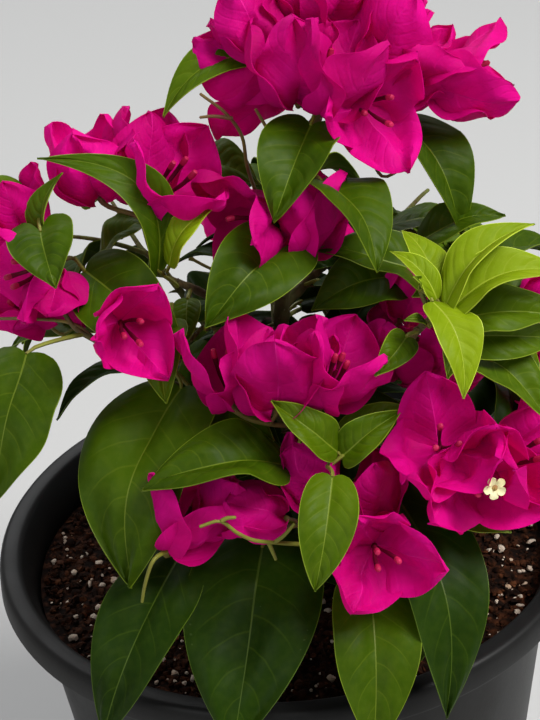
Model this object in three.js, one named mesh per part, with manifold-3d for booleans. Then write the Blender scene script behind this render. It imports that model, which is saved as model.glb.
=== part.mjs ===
// A bougainvillea bush in bloom, growing in a round nursery pot filled with potting soil.
// Millimetres, +Z up. The origin is the middle of the pot's flat underside, and the side that
// the bush shows best faces -Y. The pot, the soil, the trunk, each bough and each mass of leaves
// and blossom are separate closed solids. A mass is one stem that branches by a seeded rule, with
// leaves and bracts fused on, and it starts just clear of the tip of the limb that carries it.

import * as THREE from 'three';
import { mergeVertices } from 'three/addons/utils/BufferGeometryUtils.js';
import Module from 'manifold-3d';

const wasm = await Module();
wasm.setup();

// Driving sizes
const GAP = 0.3; // clear distance between neighbouring solids
const POT = {
  height: 200, rimRadius: 125, rimInner: 115.8, collarDrop: 11.5, collarFlare: 1.2,
  footRadius: 89, shoulderRadius: 113.5, shoulderZ: 190, wall: 2.2, floor: 3, lip: 2.4, sides: 36,
};
const SOIL = { level: 182, flatRadius: 14, crestRadius: 60, crest: 1, edgeDrop: 0.6 };
const TRUNK = { footRadius: 5, tipRadius: 2, flare: 3.4, flareHeight: 7, sides: 8, rings: 12 };
const BOUGH = { foot: 2.5, tip: 1.4, sides: 5, rings: 4 };
const TWIG = { sides: 3, stem: 1.25, branch: 1.05, tip: 1, petiole: 0.8, stalk: 7, inside: 0.8 };
const ROUTE = { step: 5, favour: 0.35, handle: 0.35, most: 12, leave: 0.6, land: 0.5, long: 18 };
const LEAF = {
  thick: 0.02, leastThick: 0.9, fold: 0.13, bow: 0.11, large: 50,
  fine: [0, 0.2, 0.48, 0.78, 1], plain: [0, 0.26, 0.66, 1],
};
const BRACT = {
  length: 33, breadth: 0.88, thick: 0.9, fold: 0.1, bow: -0.12, lean: 40, apart: 0.5, root: 1.2,
  cup: 1.7, cupSink: 1.25, spins: [0, 40, 80], stations: [0, 0.42, 0.76, 1],
};
const SHOOT = {
  leaf: 50, breadth: 0.6, first: 0.35, last: 0.97, rise: 40, droop: 20, stations: [0, 0.42, 1],
  bloomAhead: 9, bloomTurn: 50, bloomSize: 0.95,
};
const SPACE = { top: 470, floor: 6, inside: 6, outside: 4, rimClear: 3 };

// Finishes
const finish = (color, roughness) => new THREE.MeshStandardMaterial({ color, roughness, metalness: 0 });
const PLASTIC = finish(0x2a2b2d, 0.55);
const EARTH = finish(0x2b1b12, 0.95);
const BARK = finish(0x6b4a2a, 0.8);
const LEAFAGE = finish(0x3f6b1c, 0.45);
const BLOSSOM = finish(0xb8127f, 0.6);

// Small helpers
const rad = THREE.MathUtils.degToRad;
const at = (p) => new THREE.Vector3(p[0], p[1], p[2]);
const heading = (turn, pitch) => new THREE.Vector3(
  Math.cos(rad(pitch)) * Math.cos(rad(turn)),
  Math.cos(rad(pitch)) * Math.sin(rad(turn)),
  Math.sin(rad(pitch)),
);
const UP = new THREE.Vector3(0, 0, 1);

// The same run of numbers from 0 to 1 for the same seed.
function seeded(seed) {
  let state = (seed * 7919 + 17) % 4294967296;
  return () => {
    state = (state * 1664525 + 1013904223) % 4294967296;
    return state / 4294967296;
  };
}

// A closed geometry made a solid that can be joined and cut. Points nearer than the weld become one.
const WELDS = [0.001, 0.003, 0.01, 0.02, 0.03];
function solidOf(geometry, weld = WELDS[0]) {
  const bare = geometry.clone();
  bare.deleteAttribute('normal');
  bare.deleteAttribute('uv');
  const merged = mergeVertices(bare, weld);
  const mesh = new wasm.Mesh({
    numProp: 3,
    vertProperties: Float32Array.from(merged.attributes.position.array),
    triVerts: Uint32Array.from(merged.index.array),
  });
  return new wasm.Manifold(mesh);
}

// Whether an edge of a geometry belongs to more than two faces.
function sharesEdges(geometry) {
  const { position } = geometry.attributes;
  const corner = (k) => [0, 1, 2].map((axis) => position.getComponent(geometry.index.getX(k), axis)).join();
  const seen = new Map();
  for (let k = 0; k < geometry.index.count; k += 1) {
    const next = k % 3 === 2 ? k - 2 : k + 1;
    const edge = [corner(k), corner(next)].sort().join(' ');
    seen.set(edge, (seen.get(edge) ?? 0) + 1);
  }
  return [...seen.values()].some((count) => count > 2);
}

// The largest of the separate bodies in a solid.
function largest(solid) {
  return solid.decompose().reduce((a, b) => (b.volume() > a.volume() ? b : a));
}

function geometryOf(solid) {
  const mesh = solid.getMesh();
  const geometry = new THREE.BufferGeometry();
  geometry.setAttribute('position', new THREE.BufferAttribute(Float32Array.from(mesh.vertProperties), 3));
  geometry.setIndex(new THREE.BufferAttribute(Uint32Array.from(mesh.triVerts), 1));
  geometry.computeVertexNormals();
  return geometry;
}

// Moves every point of a geometry by a rule.
function warp(geometry, rule) {
  const place = geometry.attributes.position;
  const point = new THREE.Vector3();
  for (let i = 0; i < place.count; i += 1) {
    point.fromBufferAttribute(place, i);
    const moved = rule(point);
    place.setXYZ(i, moved.x, moved.y, moved.z);
  }
  return geometry;
}

// A round tapering limb along a curve, with flat ends.
function limb(curve, sides, rings, radiusAt) {
  const start = curve.getTangentAt(0);
  const side = Math.abs(start.z) > 0.9 ? new THREE.Vector3(1, 0, 0) : UP;
  const u = new THREE.Vector3().crossVectors(start, side).normalize();
  return warp(new THREE.CylinderGeometry(1, 1, 1, sides, rings), (p) => {
    const t = THREE.MathUtils.clamp(0.5 - p.y, 0, 1);
    const along = curve.getTangentAt(t);
    const across = u.clone().addScaledVector(along, -u.dot(along)).normalize();
    const third = new THREE.Vector3().crossVectors(along, across);
    const radius = radiusAt(t);
    return curve.getPointAt(t).addScaledVector(across, p.x * radius).addScaledVector(third, p.z * radius);
  });
}

const taper = (from, to) => (t) => from + (to - from) * t;

// Whether a limb bends too sharply for its thickness, so that one ring would cut into the next.
function folds(curve, radius, rings) {
  for (let i = 0; i < rings; i += 1) {
    const [a, b] = [i / rings, (i + 1) / rings];
    const step = curve.getPointAt(b).sub(curve.getPointAt(a));
    const [before, after] = [curve.getTangentAt(a), curve.getTangentAt(b)];
    const slant = radius * new THREE.Vector3().crossVectors(before, after).length() + 0.1;
    if (step.dot(before) < slant || step.dot(after) < slant) return true;
  }
  return false;
}

// Half the width of a leaf or bract at a share of its length, as a share of the widest half.
const leafShape = (s) => Math.min(1, 2.85 * Math.pow(s, 0.55) * Math.pow(1 - s, 1.1));
const bractShape = (s) => Math.min(1, 2.3 * Math.pow(s, 0.8) * Math.pow(1 - s, 0.55));

// Where along a stalk its first ring stands.
const STALK_SHARE = 0.2;

// A closed blade: a sphere with four sides, drawn out along a leaf with a ring at each station.
// A stalk, where there is one, is the same sphere's first two rings, so leaf and stalk are one body.
function blade(leaf, stations, grow = 0, stalk = null) {
  const { base, along, face, length, width, thick, fold, bow, shape } = leaf;
  const across = new THREE.Vector3().crossVectors(face, along);
  const lead = stalk ? 2 : 0;
  const last = stations.length - 1 + lead;
  return warp(new THREE.SphereGeometry(1, 4, last), (p) => {
    const turn = Math.acos(THREE.MathUtils.clamp(p.y, -1, 1));
    const ring = Math.round((turn / Math.PI) * last);
    const open = ring > 0 && ring < last ? 1 / Math.sin(turn) : 0;
    if (ring <= lead && stalk) {
      const share = [0, STALK_SHARE, 1][ring];
      return stalk.getPoint(share)
        .addScaledVector(across, TWIG.petiole * p.x * open)
        .addScaledVector(face, TWIG.petiole * p.z * open);
    }
    const s = stations[ring - lead];
    const half = (width / 2) * shape(s) + (open ? grow : 0);
    const lift = bow * length * 4 * s * (1 - s) + fold * half * Math.abs(p.x * open);
    const end = s === 0 ? -grow : s === 1 ? grow : 0;
    return base.clone()
      .addScaledVector(along, s * length + end)
      .addScaledVector(across, half * p.x * open)
      .addScaledVector(face, lift + (thick / 2 + grow) * p.z * open);
  });
}

// The way a leaf faces: square to its own length, and as near as that allows to up and outwards.
function facing(along, base, roll) {
  const outward = new THREE.Vector3(base.x, base.y, 0).normalize();
  const wish = UP.clone().multiplyScalar(0.8).addScaledVector(outward, 0.6);
  wish.addScaledVector(along, -wish.dot(along)).normalize();
  return wish.applyAxisAngle(along, rad(roll));
}

// Pot and soil
function pot() {
  const { height, rimRadius, rimInner, collarDrop, collarFlare } = POT;
  const { footRadius, shoulderRadius, shoulderZ, wall, floor, lip } = POT;
  const collarZ = height - collarDrop;
  const skirt = rimRadius + collarFlare;
  const wallAt = (z) => footRadius + ((shoulderRadius - footRadius) * z) / shoulderZ;
  const profile = [
    [0, 0], [footRadius, 0], [shoulderRadius, shoulderZ],
    [rimInner + 0.8, height - lip], [rimRadius - 1.4, height - lip], [skirt - 2, collarZ],
    [skirt, collarZ], [rimRadius + 0.4, height - 1], [rimRadius - 0.4, height],
    [rimInner, height],
    [shoulderRadius - wall, shoulderZ], [wallAt(floor) - wall, floor], [0, floor],
  ];
  const points = profile.map(([r, z]) => new THREE.Vector2(r, z));
  const round = new THREE.LatheGeometry(points, POT.sides);
  return round.rotateX(Math.PI / 2);
}

function soil() {
  const { footRadius, shoulderRadius, shoulderZ, wall, floor, sides } = POT;
  const { level, flatRadius, crestRadius, crest, edgeDrop } = SOIL;
  const inner = (z) => footRadius + ((shoulderRadius - footRadius) * z) / shoulderZ - wall - 2 * GAP;
  const profile = [
    [0, floor + GAP], [inner(floor), floor + GAP], [inner(level), level - edgeDrop],
    [crestRadius, level + crest], [flatRadius, level], [0, level],
  ];
  const points = profile.map(([r, z]) => new THREE.Vector2(r, z));
  return new THREE.LatheGeometry(points, sides).rotateX(Math.PI / 2);
}

// Trunk: flat cut on the soil, root flare, a lean to the right and a bend to the front.
const TRUNK_ROUTE = [
  [0, 0, SOIL.level + GAP], [-1, -4, 225], [1, -11, 275], [5, -19, 320],
  [10, -24, 362], [18, -18, 383], [25, -11, 396],
];
const trunkCurve = new THREE.CatmullRomCurve3(TRUNK_ROUTE.map(at));
const trunkRadius = (grow) => (t) => {
  const above = trunkCurve.getPointAt(t).z - SOIL.level;
  const flare = TRUNK.flare * Math.exp(-above / TRUNK.flareHeight);
  return TRUNK.footRadius + (TRUNK.tipRadius - TRUNK.footRadius) * t + flare + grow;
};
function trunk(grow = 0) {
  const body = limb(trunkCurve, TRUNK.sides, TRUNK.rings, trunkRadius(grow));
  const foot = SOIL.level + GAP;
  return warp(body, (p) => (p.z < foot + 1 ? new THREE.Vector3(p.x, p.y, foot) : p));
}

// Boughs: where each leaves the trunk, the bends of its route, and its tip.
const BOUGHS = {
  bough_left: [[3, -15, 297], [-12, -21, 316], [-24, -25, 329], [-35, -28, 338]],
  bough_far_left: [[-1, -6, 238], [-17, -30, 272], [-32, -50, 300], [-41, -55, 309]],
  bough_centre: [[0, -7, 246], [3, -34, 266], [6, -58, 285], [8, -71, 294]],
  bough_front_left: [[-1, -3, 214], [-16, -32, 234], [-28, -60, 250]],
  bough_front: [[0, -2, 204], [-3, -34, 222], [-5, -62, 240]],
  bough_front_right: [[0, -3, 209], [17, -34, 230], [27, -62, 248]],
  bough_right_low: [[0, -5, 229], [22, -34, 256], [40, -58, 276]],
  bough_right: [[1, -12, 284], [22, -24, 302], [37, -36, 314]],
  bough_right_shoot: [[1, -9, 264], [26, -44, 296], [45, -66, 320], [56, -77, 338]],
  bough_right_up: [[5, -19, 318], [20, -9, 327], [32, -4, 334], [42, -3, 338]],
  bough_top_right: [[10, -24, 367], [20, -20, 379], [29, -14, 391]],
  bough_back_top: [[3, -16, 304], [2, 6, 318], [1, 24, 330]],
  bough_back_left: [[0, -9, 258], [-24, 12, 290], [-40, 24, 312]],
  bough_back_right: [[1, -10, 270], [26, 12, 296], [42, 24, 314]],
  bough_back: [[0, -3, 222], [2, 32, 244], [4, 60, 262]],
  bough_back_low_left: [[-1, -3, 217], [-16, 24, 236], [-28, 46, 250]],
  bough_back_low_right: [[0, -4, 233], [34, 12, 248], [58, 24, 262]],
  bough_left_side: [[-1, -7, 248], [-30, -6, 280], [-50, -2, 300]],
};

// Masses of leaves and blossom. Each has
//   bough: the limb that carries it, or a height on the trunk
//   stems: further points that its own stem passes, in order
//   leaves: base x, y, z, heading, pitch, length, width, roll
//   flowers: foot x, y, z, heading and pitch of the way it opens, spin, size
//   shoots: number, heading, pitch, spread, reach, leaves on each
const MASSES = {
  mass_top: {
    bough: 'trunk',
    stems: [[25, -6, 408]],
    leaves: [
      [1, 0, 415, -154, -11, 42, 24, -25], [21, -25, 397, -120, -31, 42, 25, 0],
    ],
    flowers: [
      [13, -7, 409, -173, 21, 20, 1], [17, -23, 404, 80, 72, 40, 1], [25, -28, 403, -45, 62, 0, 1.05],
      [24, 8, 424, 75, 60, 70, 0.95], [18, 14, 407, 125, 28, 10, 1], [8, -10, 420, 150, 60, 50, 0.95],
      [30, 0, 424, -60, 70, 15, 1],
    ],
  },
  mass_top_right: {
    bough: 'bough_top_right',
    stems: [[42, -6, 400]],
    leaves: [[57, -7, 389, -52, -40, 50, 27, 25]],
    flowers: [
      [39, -17, 400, -74, 16, 30, 0.95], [44, -6, 412, 12, 44, 0, 0.95], [50, -9, 402, -32, 35, 60, 0.9],
      [65, -9, 403, -12, 4, 90, 1], [40, 14, 408, 68, 20, 20, 1],
    ],
  },
  mass_upper: {
    bough: 352,
    stems: [[9, -36, 357]],
    leaves: [
      [22, -30, 374, -61, -20, 46, 28, 0], [8, -47, 352, -133, -18, 44, 35, 0],
    ],
    flowers: [[6, -34, 364, 178, 26, 30, 1], [13, -44, 352, 46, 68, 0, 0.85]],
  },
  mass_left: {
    bough: 'bough_left',
    stems: [[-43, -27, 350], [-46, -23, 364]],
    leaves: [
      [-39, -31, 344, 177, 57, 60, 24, 20], [-37, -28, 347, 12, 53, 27, 12, 0],
      [-26, 4, 371, -19, -2, 28, 24, 0],
      [-63, -14, 345, -5, 38, 26, 22, 0],
    ],
    flowers: [
      [-61, -20, 371, 95, 70, 10, 1], [-46, -23, 370, 51, 70, 40, 1],
      [-41, -26, 371, -40, 36, 0, 1.05],
    ],
  },
  mass_far_left: {
    bough: 'bough_far_left',
    stems: [[-52, -56, 317], [-65, -54, 328], [-75, -50, 335], [-82, -40, 350]],
    leaves: [
      [-82, -41, 369, -79, -33, 27, 26, 0], [-82, -39, 366, 54, 70, 26, 14, 0],
      [-88, -20, 369, -170, 46, 24, 18, 0],
      [-69, -34, 349, -38, -24, 52, 32, 0], [-38, -52, 334, -99, -32, 33, 19, 0],
      [-84, -58, 328, -120, -44, 56, 34, 0],
      [-51, -57, 317, -160, -14, 38, 18, -20], [-43, -60, 312, -119, -43, 77, 44, 0],
      [-22, -44, 316, -105, -58, 38, 26, 0], [-30, -58, 304, -30, -20, 34, 22, 0],
    ],
    flowers: [
      [-89, -28, 362, 112, 70, 0, 0.9], [-80, -37, 355, -134, -4, 20, 0.9],
      [-78, -36, 352, -70, -25, 50, 0.9],
      [-57, -61, 342, -94, 28, 0, 1.1],
    ],
  },
  mass_centre: {
    bough: 'bough_centre',
    stems: [[9, -84, 298], [19, -95, 297]],
    leaves: [
      [20, -98, 299, 173, 47, 34, 18, 0], [22, -99, 298, 7, 33, 34, 19, 0],
      [17, -111, 297, -106, -44, 45, 25, 0],
      [24, -79, 292, 14, 12, 40, 28, 0], [0, -93, 292, -171, 10, 55, 32, 0],
    ],
    flowers: [
      [-18, -81, 312, 120, 72, 30, 1], [-1, -88, 312, 80, 74, 0, 1.12], [16, -84, 311, 15, 61, 60, 1.02],
      [8, -80, 312, -60, 52, 20, 0.9],
    ],
  },
  mass_young_shoot: {
    bough: 'bough_right_shoot',
    stems: [[61, -82, 345]],
    leaves: [
      [62, -84, 346, 19, 37, 48, 22, -20], [63, -85, 345, 8, 22, 50, 26, 0],
      [60, -82, 350, 137, 49, 24, 10, 0],
      [61, -78, 349, 111, 44, 29, 16, 0], [56, -85, 349, -74, -33, 40, 19, 0],
      [65, -79, 339, 2, -3, 42, 20, 0],
      [66, -78, 332, 3, -6, 40, 18, 30],
    ],
  },
  mass_right_up: {
    bough: 'bough_right_up',
    stems: [[54, -14, 340]],
    leaves: [
      [62, -44, 336, 170, 22, 46, 24, 0], [49, -38, 337, -165, -2, 34, 27, 0],
      [50, -6, 343, -8, -5, 34, 20, 0],
      [62, -24, 345, -2, 17, 32, 18, 0],
    ],
    shoots: [2, 20, 4, 40, 34, 3],
  },
  mass_right: {
    bough: 'bough_right',
    stems: [[56, -44, 312], [78, -46, 312]],
    leaves: [
      [71, -72, 321, -37, -23, 40, 24, 0], [86, -58, 316, -60, -30, 22, 16, 0],
      [84, -40, 316, 25, -5, 38, 22, 0],
    ],
    flowers: [
      [47, -58, 302, 34, 62, 0, 1], [60, -60, 300, 3, 58, 40, 0.95], [49, -44, 320, -21, 60, 70, 0.85],
      [97, -50, 306, 110, 66, 0, 0.95], [96, -36, 320, 10, 55, 50, 0.9],
    ],
  },
  mass_right_front: {
    bough: 'bough_right_low',
    stems: [[55, -78, 280], [68, -86, 278]],
    leaves: [
      [61, -94, 271, -28, -2, 26, 22, 0], [40, -77, 266, -70, -44, 88, 36, 0],
      [84, -80, 272, -10, -18, 38, 24, 0],
    ],
    flowers: [
      [58, -89, 290, -101, 50, 0, 1.2], [69, -91, 283, -65, 25, 50, 0.95],
      [81, -86, 278, -40, 42, 20, 1],
    ],
  },
  mass_front_left: {
    bough: 'bough_front_left',
    stems: [[-37, -82, 256]],
    leaves: [[-38, -84, 248, -129, -36, 74, 40, 0]],
    flowers: [[-47, -103, 264, 23, 61, 0, 1.05], [-30, -94, 266, -19, 47, 30, 0.85]],
  },
  mass_front: {
    bough: 'bough_front',
    stems: [[-6, -78, 252]],
    leaves: [[-11, -84, 249, -102, -39, 78, 52, 0]],
    flowers: [[11, -96, 273, -167, 76, 0, 0.9], [0, -96, 270, -129, 23, 40, 0.8]],
  },
  mass_front_right: {
    bough: 'bough_front_right',
    stems: [[30, -82, 256]],
    leaves: [[28, -100, 243, -92, -44, 65, 36, 0], [40, -94, 242, -77, -42, 34, 20, 0]],
    flowers: [[30, -107, 264, -102, 18, 20, 1.05], [33, -103, 267, -45, 15, 70, 0.85]],
  },
  mass_back_top: { bough: 'bough_back_top', stems: [[0, 34, 337]], shoots: [4, 92, -4, 78, 38, 4] },
  mass_back_left: { bough: 'bough_back_left', stems: [[-50, 30, 322]], shoots: [4, 132, 8, 60, 42, 4] },
  mass_back_right: { bough: 'bough_back_right', stems: [[52, 32, 322]], shoots: [4, 46, 2, 60, 44, 4] },
  mass_back: { bough: 'bough_back', stems: [[4, 72, 270]], shoots: [4, 88, 2, 60, 44, 4] },
  mass_back_low_left: {
    bough: 'bough_back_low_left', stems: [[-36, 56, 256]], shoots: [4, 128, 0, 52, 40, 4],
  },
  mass_back_low_right: {
    bough: 'bough_back_low_right', stems: [[72, 30, 268]], shoots: [4, 18, -2, 56, 42, 4],
  },
  mass_left_side: { bough: 'bough_left_side', stems: [[-60, 2, 308]], shoots: [3, 165, 16, 50, 34, 4] },
};

// Everything that stands already, so that a new twig or leaf can keep clear of it.
const standing = [];
const stand = (owner, kind, solid) => standing.push({ owner, kind, solid, box: solid.boundingBox() });

function boxesMeet(a, b) {
  return [0, 1, 2].every((k) => a.min[k] < b.max[k] && b.min[k] < a.max[k]);
}

// A share that spreads a run of turns evenly, and how often a bract without room counts.
const GOLDEN = 0.618;
const LOST_BRACT = 5;
const MOST_CROSSINGS = 15;

// How many of the standing solids that count a solid meets.
function meetings(solid, counts) {
  const box = solid.boundingBox();
  return standing.filter((other) => counts(other) && boxesMeet(box, other.box)
    && !solid.intersect(other.solid).isEmpty()).length;
}

// The room for the bush: a wide drum over the pot, clear of soil and rim.
function inSpace(geometry) {
  const place = geometry.attributes.position;
  const point = new THREE.Vector3();
  for (let i = 0; i < place.count; i += 1) {
    point.fromBufferAttribute(place, i);
    const reach = Math.hypot(point.x, point.y);
    if (point.z > SPACE.top || point.z < SOIL.level + SPACE.floor) return false;
    const overRim = reach > POT.rimInner - SPACE.inside && reach < POT.rimRadius + SPACE.outside;
    if (overRim && point.z < POT.height + SPACE.rimClear) return false;
  }
  return true;
}

// Small turns and sizes that are tried until a leaf or flower is clear: heading, pitch, size.
const TRIES = [
  [0, 0, 1], [6, 0, 1], [-6, 0, 1], [0, 7, 1], [0, -7, 1], [11, 6, 0.95], [-11, 6, 0.95], [11, -6, 0.95],
  [-11, -6, 0.95], [18, 0, 0.9], [-18, 0, 0.9], [0, 15, 0.9],
  [0, -15, 0.9], [24, 10, 0.85], [-24, -10, 0.85],
];

// One mass while it grows: its twigs as points to branch from, and its pieces.
class Mass {
  constructor(name, plan, seed) {
    this.name = name;
    this.plan = { leaves: [], flowers: [], ...plan };
    this.random = seeded(seed);
    this.pieces = [];
    this.points = [];
  }

  between(low, high) {
    return low + (high - low) * this.random();
  }

  keep(kind, geometry) {
    const solid = solidOf(geometry);
    this.pieces.push(solid);
    stand(this.name, kind, solid);
  }

  // How often a body crosses its own mass. It is out of the question where it would leave the
  // room for the bush, or where the same body grown by the gap would meet what belongs to others.
  crossings(body, grown, counts) {
    const others = (other) => other.owner !== this.name;
    if (!inSpace(body) || meetings(solidOf(grown), others)) return Infinity;
    return meetings(solidOf(body), (other) => other.owner === this.name && counts(other));
  }

  bladeCrossings(shape, stations) {
    return this.crossings(blade(shape, stations), blade(shape, stations, GAP), () => true);
  }

  // A twig may leave another twig of its own mass, so those don't count.
  twigCrossings(curve, from, to, rings) {
    const body = limb(curve, TWIG.sides, rings, taper(from, to));
    const grown = limb(curve, TWIG.sides, rings, taper(from + 2 * GAP, to + 2 * GAP));
    return this.crossings(body, grown, (other) => other.kind !== 'twig');
  }

  twig(curve, from, to, rings) {
    this.keep('twig', limb(curve, TWIG.sides, rings, taper(from, to)));
    const steps = Math.max(1, Math.round(curve.getLength() / ROUTE.step));
    for (let i = 1; i <= steps; i += 1) {
      this.points.push({ place: curve.getPointAt(i / steps), way: curve.getTangentAt(i / steps) });
    }
  }

  // The main stem, from just beyond the limb's end through the points of the plan.
  stem(foot, way) {
    const start = foot.clone().addScaledVector(way, GAP);
    const route = [start, start.clone().addScaledVector(way, 3), ...this.plan.stems.map(at)];
    this.twig(new THREE.CatmullRomCurve3(route), TWIG.stem, TWIG.tip, 2 * route.length - 2);
  }

  // The twig to a place from the nearest point of the mass that lies behind it. It starts a
  // little way inside, and leaves and arrives nearly as the two ends do. It is straight where a
  // bend would be too sharp.
  route(target, arrive) {
    const cost = (point) => {
      const ahead = target.clone().sub(point.place);
      return ahead.length() - ROUTE.favour * ahead.dot(point.way);
    };
    const best = this.points.reduce((a, b) => (cost(b) < cost(a) ? b : a));
    const start = best.place.clone().addScaledVector(best.way, -TWIG.inside);
    const ahead = target.clone().sub(start);
    const bend = Math.min(ahead.length() * ROUTE.handle, ROUTE.most);
    ahead.normalize();
    const leave = best.way.clone().multiplyScalar(ROUTE.leave).add(ahead).setLength(bend);
    const land = arrive.clone().addScaledVector(ahead, ROUTE.land).setLength(bend);
    const end = target.clone();
    const curve = new THREE.CubicBezierCurve3(start, start.clone().add(leave), end.clone().sub(land), end);
    return folds(curve, BRACT.cup, 3) ? new THREE.LineCurve3(start, end) : curve;
  }

  // A leaf on its stalk, with a twig before the stalk where the mass is far off. Of all tries the
  // one that crosses its own mass least is kept.
  leaf([x, y, z, turn, pitch, length, width, roll], stations) {
    const base = new THREE.Vector3(x, y, z);
    let best = { cost: Infinity };
    for (const [turnBy, pitchBy, size] of TRIES) {
      const along = heading(turn + turnBy, pitch + pitchBy);
      const shape = {
        base, along, face: facing(along, base, roll), length: length * size, width: width * size,
        thick: Math.max(LEAF.leastThick, length * LEAF.thick),
        fold: LEAF.fold, bow: LEAF.bow, shape: leafShape,
      };
      const direct = this.route(base, along);
      const lead = direct.getPoint(STALK_SHARE);
      const bent = lead.clone().sub(direct.getPoint(0)).dot(along) < TWIG.petiole
        || base.clone().sub(lead).dot(along) < TWIG.petiole;
      const far = bent || direct.getLength() > ROUTE.long;
      const knot = base.clone().addScaledVector(along, -TWIG.stalk);
      const branch = far ? this.route(knot, along) : direct;
      const thick = far ? TWIG.branch : TWIG.petiole;
      const cost = this.bladeCrossings(shape, stations) + this.twigCrossings(branch, thick, TWIG.tip, 2);
      if (cost < best.cost) best = { cost, shape, direct, far, knot, branch, thick, along };
      if (cost === 0) break;
    }
    if (best.cost === Infinity) return;
    if (best.far) this.twig(best.branch, best.thick, TWIG.tip, 2);
    const knot = best.knot.clone().addScaledVector(best.along, -TWIG.inside);
    const stalk = best.far ? new THREE.LineCurve3(knot, base) : best.direct;
    this.keep('leaf', blade(best.shape, stations, 0, stalk));
  }

  // Three bracts round one foot, each leaning out from the way the flower opens.
  bracts([x, y, z, , , spin, size], axis, spinBy, scale) {
    const level = Math.abs(axis.z) > 0.95 ? new THREE.Vector3(1, 0, 0) : UP;
    const aside = new THREE.Vector3().crossVectors(axis, level).normalize();
    const length = BRACT.length * size * scale;
    return [0, 120, 240].map((part) => {
      const out = aside.clone().applyAxisAngle(axis, rad(spin + spinBy + part));
      const along = axis.clone().multiplyScalar(Math.cos(rad(BRACT.lean)))
        .addScaledVector(out, Math.sin(rad(BRACT.lean)));
      const face = axis.clone().addScaledVector(along, -axis.dot(along)).normalize();
      const base = new THREE.Vector3(x, y, z)
        .addScaledVector(out, BRACT.apart)
        .addScaledVector(axis, -BRACT.root);
      return {
        base, along, face, length, width: length * BRACT.breadth, thick: BRACT.thick,
        fold: BRACT.fold, bow: BRACT.bow, shape: bractShape,
      };
    });
  }

  // A flower on its stalk. A bract that has no room is left out, and at least two are kept.
  flower(plan, stations, most) {
    const [x, y, z, turn, pitch] = plan;
    let best = { cost: most };
    for (const [turnBy, pitchBy, scale] of TRIES) {
      const axis = heading(turn + turnBy, pitch + pitchBy);
      const stalk = this.route(new THREE.Vector3(x, y, z).addScaledVector(axis, BRACT.cupSink), axis);
      const far = stalk.getLength() > ROUTE.long;
      const thick = far ? TWIG.branch : TWIG.petiole;
      const rings = far ? 2 : 1;
      const stalkCost = this.twigCrossings(stalk, thick, BRACT.cup, rings);
      if (stalkCost < best.cost) {
        for (const spinBy of BRACT.spins) {
          const tried = this.bracts(plan, axis, spinBy, scale)
            .map((bract) => ({ bract, cost: this.bladeCrossings(bract, stations) }));
          const cost = stalkCost + tried.reduce((sum, one) => sum + Math.min(one.cost, LOST_BRACT), 0);
          const bracts = tried.filter((one) => one.cost < Infinity).map((one) => one.bract);
          if (cost < best.cost && bracts.length > 1) best = { cost, bracts, stalk, thick, rings };
          if (best.cost === 0) break;
        }
      }
      if (best.cost === 0) break;
    }
    if (!best.bracts) return;
    this.twig(best.stalk, best.thick, BRACT.cup, best.rings);
    best.bracts.forEach((bract) => this.keep('bract', blade(bract, stations)));
  }

  // The leaves and flowers that have a place of their own.
  noted() {
    this.plan.leaves.forEach((leaf) => this.leaf(leaf, leaf[5] > LEAF.large ? LEAF.fine : LEAF.plain));
    this.plan.flowers.forEach((flower) => this.flower(flower, BRACT.stations, MOST_CROSSINGS));
  }

  // A leaf whose foot is sunk straight into a shoot. What lies beyond the shoot crosses nothing.
  sessile(base, turn, pitch, length) {
    for (const [turnBy, pitchBy, size] of TRIES) {
      const along = heading(turn + turnBy, pitch + pitchBy);
      const shape = {
        base, along, face: facing(along, base, 0),
        length: length * size, width: length * size * SHOOT.breadth,
        thick: LEAF.leastThick, fold: LEAF.fold, bow: LEAF.bow, shape: leafShape,
      };
      const beyond = base.clone().addScaledVector(along, TWIG.stem * 2.5);
      const free = blade({ ...shape, base: beyond, length: shape.length * 0.9 }, SHOOT.stations);
      if (this.crossings(free, blade(shape, SHOOT.stations, GAP), () => true) === 0) {
        this.keep('leaf', blade(shape, SHOOT.stations));
        return;
      }
    }
  }

  // Leafy shoots by rule: they fan out from the stem, most end in a flower, and leaves stand on
  // alternate sides all along.
  shoots([count, turn, pitch, spread, reach, leaves]) {
    const start = this.points[Math.min(2, this.points.length - 1)].place;
    for (let i = 0; i < count; i += 1) {
      const share = count > 1 ? (2 * i) / (count - 1) - 1 : 0;
      const aim = turn + spread * share;
      const rise = pitch + SHOOT.rise * (((i * GOLDEN) % 1) - 0.5);
      const end = start.clone().addScaledVector(heading(aim, rise), reach * this.between(0.8, 1.1));
      const branch = this.route(end, heading(aim, rise - SHOOT.droop));
      const grown = this.twigCrossings(branch, TWIG.stem, TWIG.petiole, 3) === 0;
      if (grown) this.twig(branch, TWIG.stem, TWIG.petiole, 3);
      const toward = aim + SHOOT.bloomTurn * this.between(-0.5, 0.5);
      const lift = this.between(25, 60);
      const foot = end.clone().addScaledVector(heading(toward, lift), SHOOT.bloomAhead);
      const bloom = [foot.x, foot.y, foot.z, toward, lift, this.between(0, 120), SHOOT.bloomSize];
      if (grown && i % 3 !== 1) this.flower(bloom, SHOOT.stations, 6);
      for (let k = 0; k < leaves; k += 1) {
        const t = SHOOT.first + ((SHOOT.last - SHOOT.first) * k) / Math.max(1, leaves - 1);
        const away = aim + ((k + i) % 2 ? 1 : -1) * this.between(35, 70);
        const fall = this.between(-36, -6);
        const length = SHOOT.leaf * this.between(0.75, 1.1);
        if (grown) this.sessile(branch.getPointAt(t), away, fall, length);
      }
    }
  }

  // One closed body: the pieces joined, any sealed hollow filled and loose scraps dropped, both
  // before and after its points are welded. The finest weld that leaves no shared edge is used.
  fused() {
    const joined = geometryOf(largest(wasm.Manifold.union(this.pieces)));
    const welded = WELDS.map((weld) => geometryOf(largest(solidOf(joined, weld))));
    return welded.find((geometry) => !sharesEdges(geometry)) ?? welded[0];
  }
}

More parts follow.
